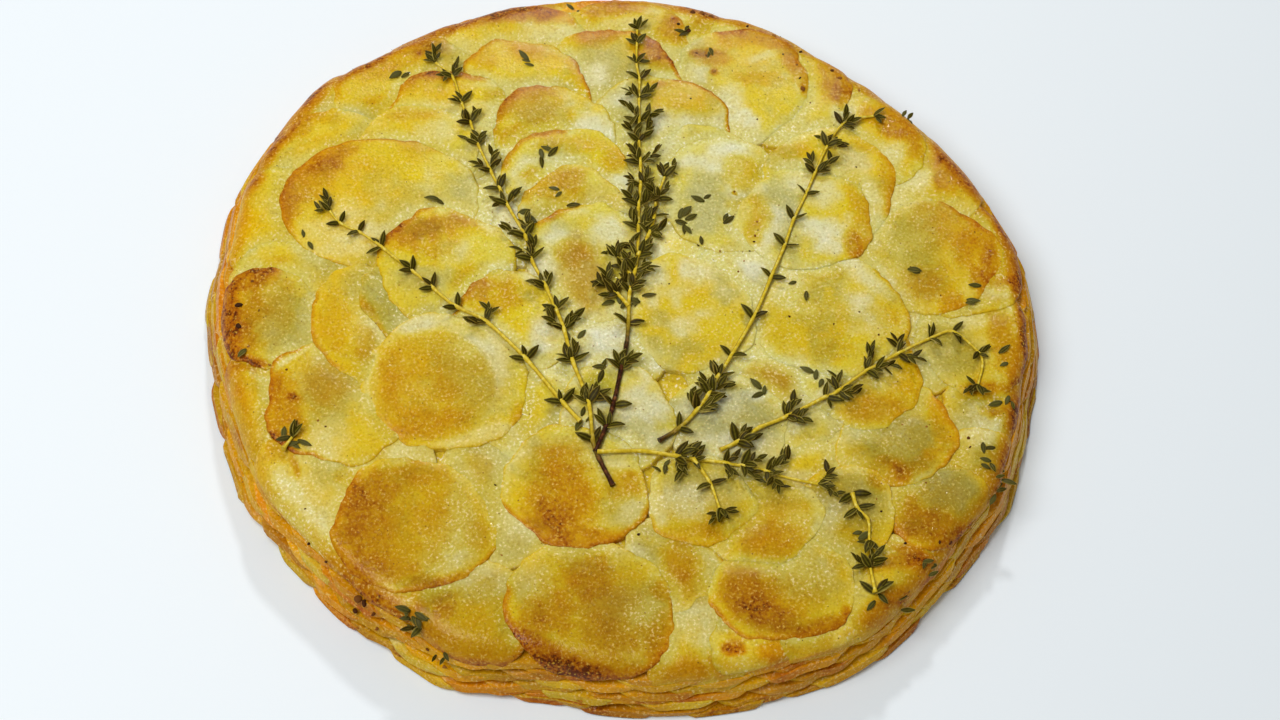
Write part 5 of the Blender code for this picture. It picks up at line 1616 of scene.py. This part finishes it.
# %% Browning as a glaze
mottle = node(
    tree, "TexNoise", {"Scale": per_metre(TOAST_MOTTLE), "Detail": 4.0, "Roughness": 0.6},
    {"Vector": place},
)
grain = node(
    tree, "TexNoise", {"Scale": per_metre(TOAST_GRAIN), "Detail": 2.0, "Roughness": 0.6},
    {"Vector": place},
)
starch = node(
    tree, "TexNoise",
    {"noise_dimensions": "4D", "W": 3.0, "Scale": per_metre(STARCH_GRAIN), "Detail": 1.0},
    {"Vector": place},
)
blotches = node(
    tree, "MapRange", {"From Min": 0.3, "From Max": 0.7, "To Min": -0.18, "To Max": 0.18},
    {"Value": mottle},
)
toasted_grain = node(
    tree, "MapRange", {"From Min": 0.3, "From Max": 0.7, "To Min": 0.78, "To Max": 1.16},
    {"Value": grain},
)
uneven = node(tree, "Math", {"operation": "ADD"}, {0: blotches, 1: toasted_grain})
heat = node(tree, "Math", {"operation": "MULTIPLY", "use_clamp": True}, {0: browning, 1: uneven})
glaze = node(
    tree, "ValToRGB", {"stops": [(at, shade(colour)) for at, colour in GLAZE]}, {"Fac": heat}
)
print("the glaze has", len(GLAZE), "stops")

# %% Yellow and pale places of the flesh
patches = node(
    tree, "TexNoise", {"Scale": per_metre(TONE_PATCH), "Detail": 3.0, "Distortion": 0.6},
    {"Vector": place},
)
patch_tint = node(
    tree, "ValToRGB",
    {"stops": [(0.34, shade("#FFFCEC")), (0.50, shade("#FBF6CA")), (0.64, shade("#FCEE90"))]},
    {"Fac": patches},
)
patchy = node(tree, "Math", {"operation": "MULTIPLY_ADD", 1: -0.5, 2: 0.8}, {0: pooled})
toned = node(tree, "Mix", GLAZING, {0: patchy, 6: flesh, 7: patch_tint}, out=2)
browned = node(tree, "Mix", {**GLAZING, 0: 1.0}, {6: toned, 7: glaze}, out=2)
print("yellow and pale places lie", TONE_PATCH, "mm apart")

# %% Starch grains and painted glints
# Painted glints: pale grains in the base colour, dense and white where starch has pooled and golden
# where the potato fried, stand in for the butter's glitter.
glint_clusters = node(
    tree, "MapRange", {"From Min": 0.36, "From Max": 0.60, "To Min": 0.08, "To Max": 0.52},
    {"Value": mottle},
)
glint_spots = node(tree, "MapRange", {"From Min": 0.56, "From Max": 0.70}, {"Value": starch})
glint_density = node(tree, "Math", {"operation": "MULTIPLY_ADD", 1: 0.45}, {0: pooled, 2: glint_clusters})
painted_glints = node(tree, "Math", {"operation": "MULTIPLY"}, {0: glint_spots, 1: glint_density})
glint_tone = node(
    tree, "Mix", {**COVERING, 6: shade("#F2DE84"), 7: shade("#FFFDEE")}, {0: pooled}, out=2
)
fried_glint_tone = node(tree, "Mix", {**COVERING, 7: shade("#F0C03C")}, {0: heat, 6: glint_tone}, out=2)
with_painted_glints = node(tree, "Mix", COVERING, {0: painted_glints, 6: browned, 7: fried_glint_tone}, out=2)
dull_grains = node(
    tree, "MapRange", {"From Min": 0.46, "From Max": 0.30, "To Max": 0.4}, {"Value": starch}
)
grainy = node(
    tree, "Mix", {**GLAZING, 7: shade("#C9B078")}, {0: dull_grains, 6: with_painted_glints}, out=2
)
print("starch grains are", STARCH_GRAIN, "mm")

# %% Scorched specks and butter
speck_distance = node(tree, "TexVoronoi", {"Scale": per_metre(SPECK_SPACING)}, {"Vector": place})
speck = node(
    tree, "MapRange", {"From Min": 0.085, "From Max": 0.05, "To Max": 0.75},
    {"Value": speck_distance},
)
chance = speck_distance.node.outputs["Color"]
few_specks = node(tree, "MapRange", {"From Min": 0.50, "From Max": 0.56}, {"Value": chance})
scorched = node(tree, "Math", {"operation": "MULTIPLY"}, {0: speck, 1: few_specks})
speckled = node(tree, "Mix", {**COVERING, 7: shade("#7A4A16")}, {0: scorched, 6: grainy}, out=2)
butter = node(tree, "Math", {"operation": "MULTIPLY", 1: 0.35}, {0: pooled})
skin = node(tree, "Mix", {**GLAZING, 7: shade("#FDF6C4")}, {0: butter, 6: speckled}, out=2)
print("scorched specks lie", SPECK_SPACING, "mm apart or more")

# %% Moisture, grain and gloss
moist = node(
    tree, "MapRange", {"From Min": 0.3, "From Max": 0.7, "To Min": 0.34, "To Max": 0.56},
    {"Value": grain},
)
coarse_bump = node(tree, "Bump", {"Strength": 0.5, "Distance": 0.0005}, {"Height": mottle})
fine_bump = node(
    tree, "Bump", {"Strength": 0.35, "Distance": 0.0003}, {"Height": starch, "Normal": coarse_bump}
)
wet_bump = node(
    tree, "Bump", {"Strength": 1.0, "Distance": 0.00024}, {"Height": starch, "Normal": coarse_bump}
)
potato_shader = node(
    tree, "BsdfPrincipled",
    {
        "IOR": 1.42, "Specular IOR Level": 0.05, "Subsurface Weight": 0.22,
        "Subsurface Radius": (1.0, 0.6, 0.25), "Subsurface Scale": 0.0015,
        "Coat Weight": 0.28, "Coat Roughness": 0.08, "Coat IOR": 1.46,
    },
    {"Base Color": skin, "Roughness": moist, "Normal": fine_bump, "Coat Normal": wet_bump},
)
node(tree, "OutputMaterial", {}, {"Surface": potato_shader})
print("the potato's finish has", len(tree.nodes), "nodes")

# %% [markdown]
# ## Thyme
# Dried by the oven's heat, thyme turns from grey green to a dark dull olive, with paler margins and
# midrib. The soft stems stay golden and smooth, and the oldest ones at the foot are woody, dark
# and ribbed. The leaf's finish reads how far from the middle a point is, and the stem's how far
# from the foot.

# %% The leaf's finish
LEAF_VEINS = 0.9  # mm, coarser than real veins so that they show

thyme_leaf, tree = fresh_material("thyme_leaf_dried")
place = node(tree, "TexCoord", out="Object")
across = node(tree, "Attribute", {"attribute_name": "across"}, out="Fac")
age = node(tree, "Attribute", {"attribute_name": "age"}, out="Fac")
veins = node(tree, "TexNoise", {"Scale": per_metre(LEAF_VEINS), "Detail": 2.0}, {"Vector": place})
blade = node(
    tree, "ValToRGB",
    {"stops": [(0.0, shade("#7A7024")), (0.22, shade("#4C440C")), (0.5, shade("#3C3408")),
               (0.72, shade("#6E601C")), (1.0, shade("#CDBA62"))]},
    {"Fac": across},
)
weathered = node(
    tree, "ValToRGB",
    {"stops": [(0.0, shade("#FFFFFF")), (0.6, shade("#D8D9A8")), (1.0, shade("#B9A36A"))]},
    {"Fac": age},
)
dried = node(tree, "Mix", {**GLAZING, 0: 0.8}, {6: blade, 7: weathered}, out=2)
shadowed = node(
    tree, "MapRange", {"From Min": 0.35, "From Max": 0.65, "To Max": 0.5}, {"Value": veins}
)
fresh = node(tree, "Mix", {**GLAZING, 7: shade("#9A9660")}, {0: shadowed, 6: dried}, out=2)
sunk = node(tree, "Attribute", {"attribute_name": "sunk"}, out="Fac")
leaf_colour = node(tree, "Mix", {**COVERING, 7: shade("#5C5A2C")}, {0: sunk, 6: fresh}, out=2)
leaf_bump = node(tree, "Bump", {"Strength": 0.4, "Distance": 0.0002}, {"Height": veins})
leaf_shader = node(
    tree, "BsdfPrincipled",
    {"Roughness": 0.4, "IOR": 1.42, "Specular IOR Level": 0.08},
    {"Base Color": leaf_colour, "Normal": leaf_bump},
)
node(tree, "OutputMaterial", {}, {"Surface": leaf_shader})
print("the leaf's finish has", len(tree.nodes), "nodes")

# %% The stem's finish
STEM_FIBRES = 1.1  # mm, coarser than real fibres so that they show

thyme_stem, tree = fresh_material("thyme_stem_golden_to_woody")
place = node(tree, "TexCoord", out="Object")
woody = node(tree, "Attribute", {"attribute_name": "woody"}, out="Fac")
fibres = node(tree, "TexNoise", {"Scale": per_metre(STEM_FIBRES), "Detail": 3.0}, {"Vector": place})
soft_stem = node(
    tree, "ValToRGB",
    {"stops": [(0.3, shade("#C8A81A")), (0.55, shade("#E4C830")), (0.75, shade("#F4E47C"))]},
    {"Fac": fibres},
)
bark = node(
    tree, "ValToRGB",
    {"stops": [(0.3, shade("#201006")), (0.55, shade("#4A240C")), (0.75, shade("#8A5426"))]},
    {"Fac": fibres},
)
stem_colour = node(tree, "Mix", COVERING, {0: woody, 6: soft_stem, 7: bark}, out=2)
# Painted shade: the stem is darkened towards its outlines, where its surface turns away from the
# camera.
grazing_shade = node(tree, "LayerWeight", {"Blend": 0.22}, out="Facing")
stem_with_edge_shade = node(tree, "Mix", {**GLAZING, 7: shade("#7A5A20")}, {0: grazing_shade, 6: stem_colour}, out=2)
stem_bump = node(tree, "Bump", {"Strength": 0.5, "Distance": 0.0002}, {"Height": fibres})
stem_shader = node(
    tree, "BsdfPrincipled", {"Roughness": 0.3, "IOR": 1.42, "Specular IOR Level": 0.2},
    {"Base Color": stem_with_edge_shade, "Normal": stem_bump},
)
node(tree, "OutputMaterial", {}, {"Surface": stem_shader})
print("the stem's finish has", len(tree.nodes), "nodes")

# %% [markdown]
# ## Scorched crumbs
# Pepper and charred skin are matt and nearly black, and the least burnt crumbs are a warm brown.
# Each crumb keeps one value of scorching, which picks its colour.

# %% The crumbs' finish
scorched_crumb, tree = fresh_material("scorched_crumb")
scorch = node(tree, "Attribute", {"attribute_name": "scorch"}, out="Fac")
crumb_colour = node(
    tree, "ValToRGB",
    {"stops": [(0.0, shade("#2E180A")), (0.35, shade("#583010")), (0.75, shade("#8E5820")),
               (1.0, shade("#A9742B"))]},
    {"Fac": scorch},
)
crumb_shader = node(
    tree, "BsdfPrincipled", {"Roughness": 0.6, "IOR": 1.45, "Specular IOR Level": 0.1},
    {"Base Color": crumb_colour},
)
node(tree, "OutputMaterial", {}, {"Surface": crumb_shader})
print("the crumbs' finish has", len(tree.nodes), "nodes")

# %% [markdown]
# ## Handing the pieces to the frame
# Every piece gets its finish and rides on the one body of the imported part. Where a piece stands
# for an imported solid, that solid is hidden. The slices together stand for the potato cake, and
# each sprig's leaves and stems for that sprig.

# %% Finishes, bodies and solids
def dress(piece, finish, slot, *nodes):
    piece.data.materials.clear()
    piece.data.materials.append(finish)
    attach(piece, "root")
    if nodes:
        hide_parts(*nodes)


def round_off(piece, degrees):
    select_only(piece)
    bpy.ops.object.shade_smooth_by_angle(angle=math.radians(degrees))


SLICE_CREASE, CRUMB_CREASE = 50, 60  # degrees, sharper edges stay edges

for piece in potato.values():
    round_off(piece, SLICE_CREASE)
    dress(piece, baked_potato, "baked_potato", "potato_cake")
for name, (leaf_piece, stem_piece) in green.items():
    dress(leaf_piece, thyme_leaf, "thyme", name)
    dress(stem_piece, thyme_stem, "thyme", name)
dress(fallen, thyme_leaf, "thyme")
round_off(specks, CRUMB_CREASE)
dress(specks, scorched_crumb, "baked_potato")

# %% [markdown]
# ## Floor, light and camera
# A plain pale floor and soft light from above show the colours as they are. The key is a large soft
# light to the left, kept out of the direction that would mirror it to the camera, so that the
# browned places stay deep. A small light behind makes the butter glitter, and a faint even sky
# lightens the shadows. The camera stands over the front and looks down at the top.

# %% Floor
FLOOR_SIZE, FLOOR_DROP = 6.0, 0.0002  # just below the cake, so that the two don't share a plane

bpy.ops.object.select_all(action="DESELECT")
bpy.ops.mesh.primitive_plane_add(size=FLOOR_SIZE, location=(0, 0, -FLOOR_DROP))
floor = bpy.context.active_object
floor.name = "floor"
floor_finish, tree = fresh_material("pale_floor")
floor_shader = node(tree, "BsdfPrincipled", {"Base Color": shade("#F1F9FF"), "Roughness": 0.6})
node(tree, "OutputMaterial", {}, {"Surface": floor_shader})
floor.data.materials.append(floor_finish)
print("the floor is", FLOOR_SIZE, "m wide")

# %% Light
KEY_PLACE, KEY_SIZE, KEY_POWER = Vector((-0.50, -0.15, 1.10)), 0.8, 9.4
GLITTER_PLACE, GLITTER_SIZE, GLITTER_POWER = Vector((0.14, 1.02, 0.86)), 0.11, 4.8
SKY_COLOUR, SKY_STRENGTH = "#F6F3EC", 0.28


def soft_light(name, place, size, power):
    bpy.ops.object.light_add(type="AREA", location=place)
    light = bpy.context.active_object
    light.name = name
    light.data.shape = "DISK"
    light.data.size = size
    light.data.energy = power
    light.rotation_euler = (-place).to_track_quat("-Z", "Y").to_euler()


soft_light("key", KEY_PLACE, KEY_SIZE, KEY_POWER)
soft_light("glitter", GLITTER_PLACE, GLITTER_SIZE, GLITTER_POWER)
sky = bpy.data.worlds.new("soft_room")
sky.use_nodes = True
backdrop = sky.node_tree.nodes["Background"]
backdrop.inputs["Color"].default_value = shade(SKY_COLOUR)
backdrop.inputs["Strength"].default_value = SKY_STRENGTH
bpy.context.scene.world = sky
bpy.context.scene.view_settings.view_transform = "Standard"
print("two lights of", KEY_POWER, "and", GLITTER_POWER, "watts")

# %% Camera
CAMERA_PLACE = (-0.06921, -0.440473, 0.785194)
CAMERA_TURN = (29.148, -3.4145, -3.4581)  # degrees
CAMERA_LENS, SENSOR_WIDTH = 84.375, 36.0  # mm

bpy.ops.object.camera_add(location=CAMERA_PLACE, rotation=[math.radians(a) for a in CAMERA_TURN])
camera = bpy.context.active_object
camera.data.lens = CAMERA_LENS
camera.data.sensor_width = SENSOR_WIDTH
camera.data.clip_start = 0.01
bpy.context.scene.camera = camera
print("the camera's lens is", CAMERA_LENS, "mm")
